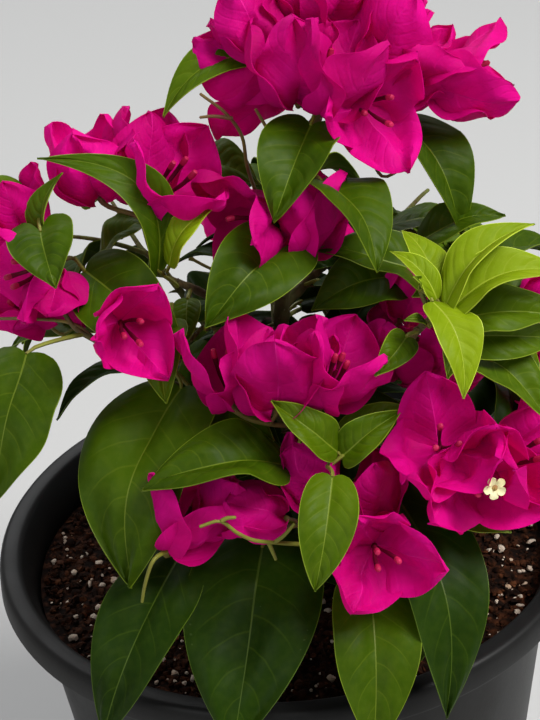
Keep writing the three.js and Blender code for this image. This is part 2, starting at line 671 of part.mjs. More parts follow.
// Assembly
const bush = new THREE.Group();
function place(name, geometry, material) {
  const mesh = new THREE.Mesh(geometry, material);
  mesh.name = name;
  bush.add(mesh);
}

const potGeometry = pot();
const soilGeometry = soil();
const trunkGeometry = trunk();
place('pot', potGeometry, PLASTIC);
place('soil', soilGeometry, EARTH);
place('trunk', trunkGeometry, BARK);
stand('trunk', 'limb', solidOf(trunkGeometry));

// Each bough is cut clear of the trunk that it leaves.
const trunkGrown = solidOf(trunk(GAP));
const tips = { trunk: { place: trunkCurve.getPointAt(1), way: trunkCurve.getTangentAt(1) } };
Object.entries(BOUGHS).forEach(([name, route]) => {
  const curve = new THREE.CatmullRomCurve3(route.map(at));
  const whole = solidOf(limb(curve, BOUGH.sides, BOUGH.rings, taper(BOUGH.foot, BOUGH.tip)));
  const bough = largest(whole.subtract(trunkGrown));
  stand(name, 'limb', bough);
  place(name, geometryOf(bough), BARK);
  tips[name] = { place: curve.getPointAt(1), way: curve.getTangentAt(1) };
});

// A mass on the trunk itself starts at the trunk's surface, on the side that it grows to.
function trunkSide(level, toward) {
  let t = 0;
  while (trunkCurve.getPointAt(t).z < level) t += 0.002;
  const axis = trunkCurve.getPointAt(t);
  const way = at(toward).sub(axis).setZ(0).normalize();
  return { place: axis.addScaledVector(way, trunkRadius(0)(t) + GAP), way };
}

const masses = Object.entries(MASSES).map(([name, plan], index) => new Mass(name, plan, index + 1));
masses.forEach((mass) => {
  const { bough, stems } = mass.plan;
  const foot = typeof bough === 'number' ? trunkSide(bough, stems[0]) : tips[bough];
  mass.stem(foot.place, foot.way);
});
masses.forEach((mass) => mass.noted());
masses.forEach((mass) => {
  if (mass.plan.shoots) mass.shoots(mass.plan.shoots);
});
masses.forEach((mass) => {
  const geometry = mass.fused();
  place(mass.name, geometry, mass.plan.flowers.length > mass.plan.leaves.length ? BLOSSOM : LEAFAGE);
});

export default bush;
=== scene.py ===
"""A bougainvillea bush in bloom in a round nursery pot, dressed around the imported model.

Lengths in the growth and in the sizes are millimetres, turned into metres where a mesh is made.
The bush grows by one rule: limbs, a stem for each mass, twigs to leaves and flowers, leafy shoots.
"""

import logging
from bisect import bisect_left
from dataclasses import dataclass, field, replace
from enum import Enum, IntEnum
from itertools import accumulate
from math import cos, exp, inf, pi, radians, sin, tau
from typing import Callable, Iterable, Optional, Sequence

import bpy
import numpy as np
from mathutils import Matrix, Vector
from mathutils.bvhtree import BVHTree


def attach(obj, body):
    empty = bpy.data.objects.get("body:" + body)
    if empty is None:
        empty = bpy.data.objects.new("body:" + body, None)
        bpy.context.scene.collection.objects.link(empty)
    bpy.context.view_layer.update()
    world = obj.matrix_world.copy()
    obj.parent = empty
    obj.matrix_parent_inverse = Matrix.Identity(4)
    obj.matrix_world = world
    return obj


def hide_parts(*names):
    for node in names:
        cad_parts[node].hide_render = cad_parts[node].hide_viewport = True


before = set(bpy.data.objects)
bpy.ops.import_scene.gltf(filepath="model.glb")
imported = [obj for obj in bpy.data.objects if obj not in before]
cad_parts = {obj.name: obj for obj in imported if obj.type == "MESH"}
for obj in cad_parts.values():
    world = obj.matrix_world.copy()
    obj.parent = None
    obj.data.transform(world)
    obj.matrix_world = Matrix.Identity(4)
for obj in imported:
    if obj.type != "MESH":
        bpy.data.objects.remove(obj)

LOG = logging.getLogger("bougainvillea")
MM = 0.001
UP, EAST = Vector((0, 0, 1)), Vector((1, 0, 0))
STEEP = 0.9
ROOT = "root"
Triple = tuple[float, float, float]
Piece = bpy.types.Object
Material = bpy.types.Material
Array = np.ndarray


# Sizes that the limbs and masses share
@dataclass(frozen=True)
class PotSizes:
    """The nursery pot, from the middle of its flat underside."""

    height: float = 200
    rim_radius: float = 125
    rim_inner: float = 115.8
    collar_drop: float = 11.5
    collar_flare: float = 1.2
    foot_radius: float = 89
    shoulder_radius: float = 113.5
    shoulder_z: float = 190
    wall: float = 2.2
    floor: float = 3
    lip: float = 2.4
    soil_level: float = 182

    def wall_at(self, z: float) -> float:
        """Returns the outer radius of the wall at a height."""
        return self.foot_radius + (self.shoulder_radius - self.foot_radius) * z / self.shoulder_z


@dataclass(frozen=True)
class TwigSizes:
    """Radii and lengths of the thin wood."""

    stem: float = 1.25
    branch: float = 1.05
    tip: float = 1
    petiole: float = 0.8
    stalk: float = 7
    inside: float = 0.8
    straight: float = 3
    sides: int = 3
    rings: int = 2


@dataclass(frozen=True)
class RouteSizes:
    """How a twig finds its way to a leaf or flower."""

    step: float = 5
    favour: float = 0.35
    handle: float = 0.35
    most: float = 12
    leave: float = 0.6
    land: float = 0.5
    long: float = 18


@dataclass(frozen=True)
class BractSizes:
    """The three bracts of a flower."""

    length: float = 33
    breadth: float = 0.88
    thick: float = 0.9
    fold: float = 0.1
    bow: float = -0.12
    lean: float = 40
    apart: float = 0.5
    root: float = 1.2
    cup: float = 1.7
    cup_sink: float = 1.25
    parts: tuple[float, ...] = (0, 120, 240)
    spins: tuple[float, ...] = (0, 40, 80)
    stations: tuple[float, ...] = (0, 0.42, 0.76, 1)
    steep: float = 0.95
    lost: float = 5
    most_crossings: float = 15


@dataclass(frozen=True)
class ShootSizes:
    """The leafy shoots that grow by rule."""

    leaf: float = 50
    breadth: float = 0.6
    first: float = 0.35
    last: float = 0.97
    rise: float = 40
    droop: float = 20
    rings: int = 3
    stations: tuple[float, ...] = (0, 0.42, 1)
    reach: tuple[float, float] = (0.8, 1.1)
    away: tuple[float, float] = (35, 70)
    fall: tuple[float, float] = (-36, -6)
    size: tuple[float, float] = (0.75, 1.1)
    sunk: float = 2.5
    tested: float = 0.9
    bloom_ahead: float = 9
    bloom_turn: float = 25
    bloom_lift: tuple[float, float] = (25, 60)
    bloom_size: float = 0.95
    most_crossings: float = 6


@dataclass(frozen=True)
class RoomSizes:
    """The room for the bush over the pot."""

    top: float = 470
    floor: float = 6
    inside: float = 6
    outside: float = 4
    rim_clear: float = 3


@dataclass(frozen=True)
class InnerSizes:
    """What grows by rule on the limbs and at the forks of twigs."""

    step: float = 8
    first: float = 0.30
    bough_leaf: float = 34
    trunk_leaf: float = 30
    trunk_radius: float = 3.4
    breadth: float = 0.62
    stalk: float = 8
    clear: float = 1.2
    scales: tuple[float, ...] = (1.15, 0.85, 0.6)
    bare_above: float = 345
    bud: tuple[float, float] = (8, 19)
    bud_breadth: float = 0.5
    bud_stalk: float = 2.5
    bloom_clear: float = 18


GAP = 0.3
POT = PotSizes()
TWIG = TwigSizes()
ROUTE = RouteSizes()
BRACT = BractSizes()
SHOOT = ShootSizes()
ROOM = RoomSizes()
INNER = InnerSizes()
LEAF_FOLD = 0.13
LEAF_BOW = 0.11
LEAF_THICK = 0.02
LEAF_LEAST = 0.9
LEAF_LARGE = 50
LEAF_FINE = (0, 0.2, 0.48, 0.78, 1)
LEAF_PLAIN = (0, 0.26, 0.66, 1)
STALK_SHARE = 0.2
GOLDEN = 0.618

# Bare stalks whose flowers have dropped: the points of each, from its foot
SPURS: tuple[tuple[Triple, ...], ...] = (
    ((8, -16, 331), (0, -14, 360), (-4, -15, 378), (-5, -16, 391), (-10, -17, 401), (-19, -17, 410)),
    ((-8, -17, 399), (-15, -18, 401), (-20, -18, 401)),
    ((43, -12, 392), (45, -12, 372), (48, -12, 367), (55, -13, 370)),
    (
        (5, -105, 264), (-6, -112, 271), (-14, -116, 276),
        (-19, -118, 281), (-25, -121, 289), (-32, -122, 288),
    ),
    ((-24, -121, 289), (-22, -121, 290), (-19, -121, 290)),
    ((-6, -112, 271), (-2, -112, 274), (2, -111, 278)),
    ((-8, -112, 271), (-7, -113, 268), (-6, -113, 264)),
    ((-38, -40, 304), (-52, -48, 311), (-62, -52, 323), (-74, -50, 335), (-91, -46, 337), (-103, -42, 336)),
    ((-46, -104, 266), (-51, -111, 267), (-55, -113, 258), (-57, -113, 250)),
    ((10, -22, 357), (13, -22, 372), (16, -22, 383), (14, -22, 390), (11, -20, 398)),
    ((16, -22, 383), (21, -23, 384), (26, -24, 387)),
    ((10, -23, 380), (7, -24, 391), (1, -24, 405)),
)
SPUR_FOOT, SPUR_TIP = 0.9, 0.58
YOUNG_SPURS = 290

# Small turns, lifts and sizes that are tried in order until a leaf or flower is clear
TRIES = (
    (0, 0, 1), (6, 0, 1), (-6, 0, 1), (0, 7, 1), (0, -7, 1), (11, 6, 0.95), (-11, 6, 0.95),
    (11, -6, 0.95), (-11, -6, 0.95), (18, 0, 0.9), (-18, 0, 0.9), (0, 15, 0.9), (0, -15, 0.9),
    (24, 10, 0.85), (-24, -10, 0.85),
)

TRUNK_ROUTE = (
    (0, 0, POT.soil_level + GAP), (-1, -4, 225), (1, -11, 275), (5, -19, 320),
    (10, -24, 362), (18, -18, 383), (25, -11, 396),
)
BOUGH_FOOT, BOUGH_TIP = 2.5, 1.4

# Where each bough leaves the trunk, the bends of its route, and its tip
BOUGHS: dict[str, tuple[Triple, ...]] = {
    "bough_left": ((3, -15, 297), (-12, -21, 316), (-24, -25, 329), (-35, -28, 338)),
    "bough_far_left": ((-1, -6, 238), (-17, -30, 272), (-32, -50, 300), (-41, -55, 309)),
    "bough_centre": ((0, -7, 246), (3, -34, 266), (6, -58, 285), (8, -71, 294)),
    "bough_front_left": ((-1, -3, 214), (-16, -32, 234), (-28, -60, 250)),
    "bough_front": ((0, -2, 204), (-3, -34, 222), (-5, -62, 240)),
    "bough_front_right": ((0, -3, 209), (17, -34, 230), (27, -62, 248)),
    "bough_right_low": ((0, -5, 229), (22, -34, 256), (40, -58, 276)),
    "bough_right": ((1, -12, 284), (22, -24, 302), (37, -36, 314)),
    "bough_right_shoot": ((1, -9, 264), (26, -44, 296), (45, -66, 320), (56, -77, 338)),
    "bough_right_up": ((5, -19, 318), (20, -9, 327), (32, -4, 334), (42, -3, 338)),
    "bough_top_right": ((10, -24, 367), (20, -20, 379), (29, -14, 391)),
    "bough_back_top": ((3, -16, 304), (2, 6, 318), (1, 24, 330)),
    "bough_back_left": ((0, -9, 258), (-24, 12, 290), (-40, 24, 312)),
    "bough_back_right": ((1, -10, 270), (26, 12, 296), (42, 24, 314)),
    "bough_back": ((0, -3, 222), (2, 32, 244), (4, 60, 262)),
    "bough_back_low_left": ((-1, -3, 217), (-16, 24, 236), (-28, 46, 250)),
    "bough_back_low_right": ((0, -4, 233), (34, 12, 248), (58, 24, 262)),
    "bough_left_side": ((-1, -7, 248), (-30, -6, 280), (-50, -2, 300)),
}


@dataclass(frozen=True)
class Plan:
    """What one mass bears.

    A leaf is base x, y, z, heading, pitch, length, width and roll. A flower is foot x, y, z,
    heading and pitch of the way it opens, spin and size. Shoots are a number, heading, pitch,
    spread, reach and the leaves on each.
    """

    bough: str | float
    stems: tuple[Triple, ...]
    leaves: tuple[tuple[float, ...], ...] = ()
    flowers: tuple[tuple[float, ...], ...] = ()
    shoots: tuple[float, ...] = ()


MASSES: dict[str, Plan] = {
    "mass_top": Plan(
        "trunk", ((25, -6, 408),),
        leaves=((1, 0, 415, -154, -11, 42, 24, -25), (21, -25, 397, -120, -31, 42, 25, 0)),
        flowers=(
            (13, -7, 409, -173, 21, 20, 1), (17, -23, 404, 80, 72, 40, 1),
            (25, -28, 403, -45, 62, 0, 1.05), (24, 8, 424, 75, 60, 70, 0.95),
            (18, 14, 407, 125, 28, 10, 1), (8, -10, 420, 150, 60, 50, 0.95),
            (30, 0, 424, -60, 70, 15, 1),
        ),
    ),
    "mass_top_right": Plan(
        "bough_top_right", ((42, -6, 400),),
        leaves=((57, -7, 389, -52, -40, 50, 27, 25),),
        flowers=(
            (39, -17, 400, -74, 16, 30, 0.95), (44, -6, 412, 12, 44, 0, 0.95),
            (50, -9, 402, -32, 35, 60, 0.9), (65, -9, 403, -12, 4, 90, 1),
            (40, 14, 408, 68, 20, 20, 1),
        ),
    ),
    "mass_upper": Plan(
        352, ((9, -36, 357),),
        leaves=((22, -30, 374, -61, -20, 46, 28, 0), (8, -47, 352, -133, -18, 44, 35, 0)),
        flowers=((6, -34, 364, 178, 26, 30, 1), (13, -44, 352, 46, 68, 0, 0.85)),
    ),
    "mass_left": Plan(
        "bough_left", ((-43, -27, 350), (-46, -23, 364)),
        leaves=(
            (-39, -31, 344, 177, 57, 60, 24, 20), (-37, -28, 347, 12, 53, 27, 12, 0),
            (-26, 4, 371, -19, -2, 28, 24, 0), (-63, -14, 345, -5, 38, 26, 22, 0),
        ),
        flowers=(
            (-61, -20, 371, 95, 70, 10, 1), (-46, -23, 370, 51, 70, 40, 1),
            (-41, -26, 371, -40, 36, 0, 1.05),
        ),
    ),
    "mass_far_left": Plan(
        "bough_far_left", ((-52, -56, 317), (-65, -54, 328), (-75, -50, 335), (-82, -40, 350)),
        leaves=(
            (-82, -41, 369, -79, -33, 27, 26, 0), (-82, -39, 366, 54, 70, 26, 14, 0),
            (-88, -20, 369, -170, 46, 24, 18, 0), (-69, -34, 349, -38, -24, 52, 32, 0),
            (-38, -52, 334, -99, -32, 33, 19, 0), (-84, -58, 328, -120, -44, 56, 34, 0),
            (-51, -57, 317, -160, -14, 38, 18, -20), (-43, -60, 312, -119, -43, 77, 44, 0),
            (-22, -44, 316, -105, -58, 38, 26, 0), (-30, -58, 304, -30, -20, 34, 22, 0),
        ),
        flowers=(
            (-89, -28, 362, 112, 70, 0, 0.9), (-80, -37, 355, -134, -4, 20, 0.9),
            (-78, -36, 352, -70, -25, 50, 0.9), (-57, -61, 342, -94, 28, 0, 1.1),
        ),
    ),
    "mass_centre": Plan(
        "bough_centre", ((9, -84, 298), (19, -95, 297)),
        leaves=(
            (20, -98, 299, 173, 47, 34, 18, 0), (22, -99, 298, 7, 33, 34, 19, 0),
            (17, -111, 297, -106, -44, 45, 25, 0), (24, -79, 292, 14, 12, 40, 28, 0),
            (0, -93, 292, -171, 10, 55, 32, 0),
        ),
        flowers=(
            (-18, -81, 312, 120, 72, 30, 1), (-1, -88, 312, 80, 74, 0, 1.12),
            (16, -84, 311, 15, 61, 60, 1.02), (8, -80, 312, -60, 52, 20, 0.9),
        ),
    ),
    "mass_young_shoot": Plan(
        "bough_right_shoot", ((61, -82, 345),),
        leaves=(
            (62, -84, 346, 19, 37, 48, 22, -20), (63, -85, 345, 8, 22, 50, 26, 0),
            (60, -82, 350, 137, 49, 24, 10, 0), (61, -78, 349, 111, 44, 29, 16, 0),
            (56, -85, 349, -74, -33, 40, 19, 0), (65, -79, 339, 2, -3, 42, 20, 0),
            (66, -78, 332, 3, -6, 40, 18, 30),
        ),
    ),
    "mass_right_up": Plan(
        "bough_right_up", ((54, -14, 340),),
        leaves=(
            (62, -44, 336, 170, 22, 46, 24, 0), (49, -38, 337, -165, -2, 34, 27, 0),
            (50, -6, 343, -8, -5, 34, 20, 0), (62, -24, 345, -2, 17, 32, 18, 0),
        ),
        shoots=(2, 20, 4, 40, 34, 3),
    ),
    "mass_right": Plan(
        "bough_right", ((56, -44, 312), (78, -46, 312)),
        leaves=(
            (71, -72, 321, -37, -23, 40, 24, 0), (86, -58, 316, -60, -30, 22, 16, 0),
            (84, -40, 316, 25, -5, 38, 22, 0),
        ),
        flowers=(
            (47, -58, 302, 34, 62, 0, 1), (60, -60, 300, 3, 58, 40, 0.95),
            (49, -44, 320, -21, 60, 70, 0.85), (97, -50, 306, 110, 66, 0, 0.95),
            (96, -36, 320, 10, 55, 50, 0.9),
        ),
    ),
    "mass_right_front": Plan(
        "bough_right_low", ((55, -78, 280), (68, -86, 278)),
        leaves=(
            (61, -94, 271, -28, -2, 26, 22, 0), (40, -77, 266, -70, -44, 88, 36, 0),
            (84, -80, 272, -10, -18, 38, 24, 0),
        ),
        flowers=(
            (58, -89, 290, -101, 50, 0, 1.2), (69, -91, 283, -65, 25, 50, 0.95),
            (81, -86, 278, -40, 42, 20, 1),
        ),
    ),
    "mass_front_left": Plan(
        "bough_front_left", ((-37, -82, 256),),
        leaves=((-38, -84, 248, -129, -36, 74, 40, 0),),
        flowers=((-47, -103, 264, 23, 61, 0, 1.05), (-30, -94, 266, -19, 47, 30, 0.85)),
    ),
    "mass_front": Plan(
        "bough_front", ((-6, -78, 252),),
        leaves=((-11, -84, 249, -102, -39, 78, 52, 0),),
        flowers=((11, -96, 273, -167, 76, 0, 0.9), (0, -96, 270, -129, 23, 40, 0.8)),
    ),
    "mass_front_right": Plan(
        "bough_front_right", ((30, -82, 256),),
        leaves=((28, -100, 243, -92, -44, 65, 36, 0), (40, -94, 242, -77, -42, 34, 20, 0)),
        flowers=((30, -107, 264, -102, 18, 20, 1.05), (33, -103, 267, -45, 15, 70, 0.85)),
    ),
    "mass_back_top": Plan("bough_back_top", ((0, 34, 337),), shoots=(4, 92, -4, 78, 38, 4)),
    "mass_back_left": Plan("bough_back_left", ((-50, 30, 322),), shoots=(4, 132, 8, 60, 42, 4)),
    "mass_back_right": Plan("bough_back_right", ((52, 32, 322),), shoots=(4, 46, 2, 60, 44, 4)),
    "mass_back": Plan("bough_back", ((4, 72, 270),), shoots=(4, 88, 2, 60, 44, 4)),
    "mass_back_low_left": Plan(
        "bough_back_low_left", ((-36, 56, 256),), shoots=(4, 128, 0, 52, 40, 4)
    ),
    "mass_back_low_right": Plan(
        "bough_back_low_right", ((72, 30, 268),), shoots=(4, 18, -2, 56, 42, 4)
    ),
    "mass_left_side": Plan("bough_left_side", ((-60, 2, 308),), shoots=(3, 165, 16, 50, 34, 4)),
}


# How some noted leaves lie, by the base: moved to the viewer's right, up and towards the viewer, then
# share of the length and of the breadth, a turn about the midrib, the fold along it, and how far the
# midrib bows sideways
LEAF_LIES: dict[Triple, tuple[float, ...]] = {
    (21, -25, 397): (0, 0, 0, 1, 1.15, 28, 0.5, 0.04),
    (57, -7, 389): (1, 0, -9, 1, 1, 0, 0.5, -0.06),
    (22, -30, 374): (1, 2, 3, 1, 1.05, -12, 0.4, 0),
    (8, -47, 352): (-4, 4, 4, 0.95, 1, 0, 0.15, 0),
    (-39, -31, 344): (-2, 0, 16, 1, 0.72, 0, 0.35, -0.26),
    (-37, -28, 347): (1, -3, 20, 1.05, 1.05, 0, 0.35, 0.05),
    (1, 0, 415): (0, 1, 0, 0.95, 0.72, 0, 0.4, -0.08),
    (-82, -41, 369): (0, 1, 8, 0.86, 1.15, -22, 0.2, 0),
    (-43, -60, 312): (7, -2, 0, 1, 1.1, 0, 0.15, -0.05),
    (-84, -58, 328): (-8, 0, 6, 1.02, 1.08, -22, 0.08, 0.06),
    (-51, -57, 317): (0, 1, -6, 1, 0.7, 40, 0.5, -0.04),
    (20, -98, 299): (0, 0, 0, 0.92, 0.9, 0, 0.5, 0.05),
    (22, -99, 298): (0, 0, 0, 0.78, 0.95, 0, 0.5, 0),
    (24, -79, 292): (0, 0, 0, 0.7, 0.8, 0, 0.3, 0),
    (17, -111, 297): (0, 0, 0, 0.92, 0.92, 0, 0.25, 0),
    (0, -93, 292): (0, 0, 0, 0.95, 1, 26, 0.4, 0.05),
    (62, -84, 346): (0, 0, 0, 0.95, 0.8, -20, 0.65, 0.05),
    (63, -85, 345): (0, 0, 0, 0.95, 0.75, -20, 0.65, 0.05),
    (56, -85, 349): (2, 2, 0, 0.92, 1.05, 0, 0.3, 0.05),
    (61, -94, 271): (-1, -5, -12, 1, 1, 0, 0.3, 0),
    (40, -94, 242): (3, -6, -12, 1, 1, 0, 0.3, 0),
    (-38, -84, 248): (-5, 0, 0, 1, 0.88, 0, 0.2, 0.04),
    (28, -100, 243): (0, 0, 0, 1, 0.92, 0, 0.35, 0),
    (40, -77, 266): (0, 0, 0, 1, 1, 0, 0.3, 0.04),
    (-11, -84, 249): (0, 0, 0, 1, 1, 0, 0.12, 0),
}

AS_GROWN = (0, 0, 0, 1, 1, 0, None, 0)

# Windows of open sky between the boughs, as shares of the picture: left, right, top and bottom
SKY = (
    (0.233, 0.298, 0.288, 0.354), (0.263, 0.381, 0.364, 0.417), (0.078, 0.180, 0.251, 0.346),
    (0.524, 0.617, 0.153, 0.222), (0.370, 0.463, 0.083, 0.229), (0.713, 0.846, 0.229, 0.290),
    (0.110, 0.240, 0.458, 0.555), (0.889, 1.1, 0.115, 0.300),
)


def heading(turn: float, pitch: float) -> Vector:
    """Gives a direction.

    Args:
        turn: Degrees from +X towards +Y.
        pitch: Degrees above level.

    Returns:
        The unit vector.
    """
    t, p = radians(turn), radians(pitch)
    return Vector((cos(p) * cos(t), cos(p) * sin(t), sin(p)))


def square_to(way: Vector, along: Vector) -> Vector:
    """Returns the part of a way that is square to another, as a unit vector."""
    return (way - along * way.dot(along)).normalized()


def aside_of(way: Vector, steep: float = STEEP) -> Vector:
    """Returns a way square to another, and level unless that one is steep."""
    return way.cross(EAST if abs(way.z) > steep else UP).normalized()


def turned(way: Vector, axis: Vector, angle: float) -> Vector:
    """Returns a way turned about an axis by an angle in degrees."""
    return Matrix.Rotation(radians(angle), 3, axis) @ way


def blend(start: float, end: float, share: float) -> float:
    """Returns the number at a share of the way from one to another."""
    return start + (end - start) * share


class Dice:
    """The same run of numbers from 0 to 1 for the same seed, by a linear congruence."""

    SPREAD, OFFSET = 7919, 17
    FACTOR, STEP, SPAN = 1664525, 1013904223, 2**32

    def __init__(self, seed: int) -> None:
        """Starts the run."""
        self.state = (seed * self.SPREAD + self.OFFSET) % self.SPAN

    def draw(self) -> float:
        """Returns the next number."""
        self.state = (self.state * self.FACTOR + self.STEP) % self.SPAN
        return self.state / self.SPAN

    def between(self, low: float, high: float) -> float:
        """Returns the next number, spread over a range."""
        return blend(low, high, self.draw())


# Routes through space
class Route:
    """A line through space that can be measured along its length."""

    DIVISIONS = 100
    NEAR = 0.0001
    _sums: Sequence[float] = ()

    def point(self, t: float) -> Vector:
        """Returns the point at a share of the line's own parameter."""
        raise NotImplementedError

    def sums(self) -> list[float]:
        """Returns the length up to each of the line's divisions."""
        if not self._sums:
            places = [self.point(i / self.DIVISIONS) for i in range(self.DIVISIONS + 1)]
            steps = [(after - before).length for before, after in zip(places, places[1:])]
            self._sums = list(accumulate(steps, initial=0.0))
        return self._sums

    def length(self) -> float:
        """Returns the whole length."""
        return self.sums()[-1]

    def share(self, u: float) -> float:
        """Turns a share of the length into the line's own parameter.

        Args:
            u: Share of the length, from 0 to 1.

        Returns:
            The parameter there.
        """
        sums = self.sums()
        wanted = u * sums[-1]
        k = min(max(bisect_left(sums, wanted), 1), self.DIVISIONS)
        step = sums[k] - sums[k - 1]
        return (k - 1 + ((wanted - sums[k - 1]) / step if step else 0)) / self.DIVISIONS

    def at(self, u: float) -> Vector:
        """Returns the point at a share of the length."""
        return self.point(self.share(u))

    def way(self, u: float) -> Vector:
        """Returns the direction at a share of the length."""
        t = self.share(u)
        return (self.point(min(1, t + self.NEAR)) - self.point(max(0, t - self.NEAR))).normalized()


class Smooth(Route):
    """A centripetal Catmull-Rom line through given points."""

    def __init__(self, places: Iterable[Sequence[float]]) -> None:
        """Takes the points, and adds one beyond each end."""
        core = [Vector(p) for p in places]
        self.places = [2 * core[0] - core[1], *core, 2 * core[-1] - core[-2]]

    def point(self, t: float) -> Vector:
        """Returns the point at a share of the line's own parameter."""
        spans = len(self.places) - 3
        k = min(int(t * spans), spans - 1)
        w = t * spans - k
        a, b, c, d = self.places[k:k + 4]
        da, db, dc = ((q - p).length ** 0.5 for p, q in ((a, b), (b, c), (c, d)))
        m = ((b - a) / da - (c - a) / (da + db) + (c - b) / db) * db
        n = ((c - b) / db - (d - b) / (db + dc) + (d - c) / dc) * db
        return b + m * w + (3 * (c - b) - 2 * m - n) * w**2 + (2 * (b - c) + m + n) * w**3


@dataclass
class Bend(Route):
    """A cubic Bezier line, given by its two ends and their handles between."""

    a: Vector
    b: Vector
    c: Vector
    d: Vector

    def point(self, t: float) -> Vector:
        """Returns the point at a share of the line's own parameter."""
        k = 1 - t
        return k**3 * self.a + 3 * k * k * t * self.b + 3 * k * t * t * self.c + t**3 * self.d


@dataclass
class Straight(Route):
    """A straight line between two ends."""

    a: Vector
    b: Vector
    DIVISIONS = 1

    def point(self, t: float) -> Vector:
        """Returns the point at a share of the line."""
        return self.a.lerp(self.b, t)

    def way(self, u: float) -> Vector:
        """Returns the direction, which is the same all along."""
        return (self.b - self.a).normalized()


def folds(route: Route, radius: float, rings: int, slack: float = 0.1) -> bool:
    """Tells whether a limb bends too sharply for its thickness.

    Args:
        route: The middle line.
        radius: The limb's radius.
        rings: How many steps it is made in.
        slack: What is kept free between two rings.

    Returns:
        True where one ring would cut into the next.
    """
    places = [route.at(i / rings) for i in range(rings + 1)]
    ways = [route.way(i / rings) for i in range(rings + 1)]
    for a, b, before, after in zip(places, places[1:], ways, ways[1:]):
        slant = radius * before.cross(after).length + slack
        if min((b - a).dot(before), (b - a).dot(after)) < slant:
            return True
    return False


def frames(route: Route, rings: int) -> Iterable[tuple[float, Array, Vector, Vector]]:
    """Gives the share, the place and the two cross ways of each ring along a route."""
    first = aside_of(route.way(0))
    for i in range(rings + 1):
        t = i / rings
        along = route.way(t)
        across = square_to(first, along)
        yield t, np.array(route.at(t)), across, along.cross(across)


def wall_faces(rings: int, sides: int) -> Array:
    """Numbers the faces between the rings of a limb or tube."""
    k = np.arange(sides)
    n = (k + 1) % sides
    band = np.stack([k, n, n + sides, k + sides], 1)
    return np.concatenate([band + i * sides for i in range(rings)])


# Plain bodies for the test of what is clear of what
class Body:
    """A closed mesh of a few faces that can be tested against others."""

    def __init__(self, points: Array, faces: list[list[int]]) -> None:
        """Takes the points and faces, and prepares the search tree."""
        self.points = points
        self.tree = BVHTree.FromPolygons(points.tolist(), faces)
        self.low, self.high = points.min(0), points.max(0)


def limb_body(route: Route, sides: int, rings: int, start: float, end: float) -> Body:
    """Makes a plain tapering limb with flat ends.

    Args:
        route: The middle line.
        sides: How many sides.
        rings: How many steps along the line.
        start: Radius at the start.
        end: Radius at the end.

    Returns:
        The body.
    """
    turns = np.arange(sides) * tau / sides
    rows = []
    for t, place, across, third in frames(route, rings):
        ring = np.outer(np.sin(turns), across) + np.outer(np.cos(turns), third)
        rows.append(place + ring * blend(start, end, t))
    ends = [list(range(sides)), list(range(rings * sides, (rings + 1) * sides))]
    return Body(np.concatenate(rows), wall_faces(rings, sides).tolist() + ends)


def shape(full: float, rise: float, fall: float) -> Callable[[float], float]:
    """Makes the plain outline of a blade.

    Args:
        full: How full it is.
        rise: How slowly it widens from its foot.
        fall: How fast it narrows to its tip.

    Returns:
        Half the width at a share of the length, as a share of the widest.
    """
    return lambda s: min(1, full * s**rise * max(0, 1 - s) ** fall)


leaf_shape, bract_shape = shape(2.85, 0.55, 1.1), shape(2.3, 0.8, 0.55)


@dataclass
class Blade:
    """A leaf or bract: where it starts, how it lies and how large it is."""

    base: Vector
    along: Vector
    face: Vector
    length: float
    width: float
    thick: float = LEAF_LEAST
    fold: float = LEAF_FOLD
    bow: float = LEAF_BOW
    shape: Callable[[float], float] = leaf_shape

    def body(self, stations: Sequence[float], grow: float = 0) -> Body:
        """Makes a plain four-sided body of the blade.

        Args:
            stations: Shares of the length at which it has a ring.
            grow: How far it is grown on all sides.

        Returns:
            The body.
        """
        across = np.array(self.face.cross(self.along))
        along, face, base = np.array(self.along), np.array(self.face), np.array(self.base)
        rows = []
        for s in stations:
            end = -grow if s == 0 else grow if s == 1 else 0
            middle = base + along * (s * self.length + end)
            lift = self.bow * self.length * 4 * s * (1 - s)
            if s in (0, 1):
                rows.append((middle + face * lift)[None])
                continue
            half = self.width / 2 * self.shape(s) + grow
            deep = self.thick / 2 + grow
            raised = lift + self.fold * half
            rows.append(np.stack([
                middle - across * half + face * raised, middle + face * (lift + deep),
                middle + across * half + face * raised, middle + face * (lift - deep),
            ]))
        count = len(stations) - 2
        last = 1 + 4 * count
        faces = []
        for k in range(4):
            n = (k + 1) % 4
            faces += [[0, 1 + n, 1 + k], [last, last - 4 + k, last - 4 + n]]
            for a in range(1, last - 4, 4):
                faces.append([a + k, a + n, a + 4 + n, a + 4 + k])
        return Body(np.concatenate(rows), faces)


def tries(turn: float, pitch: float) -> Iterable[tuple[Vector, float]]:
    """Gives the ways near a heading that are tried in order, each with its share of the size."""
    for turn_by, pitch_by, size in TRIES:
        yield heading(turn + turn_by, pitch + pitch_by), size


def facing(along: Vector, base: Vector, roll: float) -> Vector:
    """Gives the way a leaf faces: square to its length, near to up and outwards.

    Args:
        along: The leaf's direction.
        base: Where it starts.
        roll: Degrees that it is turned about its own length.

    Returns:
        The unit vector.
    """
    wish = UP * 0.8 + Vector((base.x, base.y, 0)).normalized() * 0.6
    return turned(square_to(wish, along), along, roll)


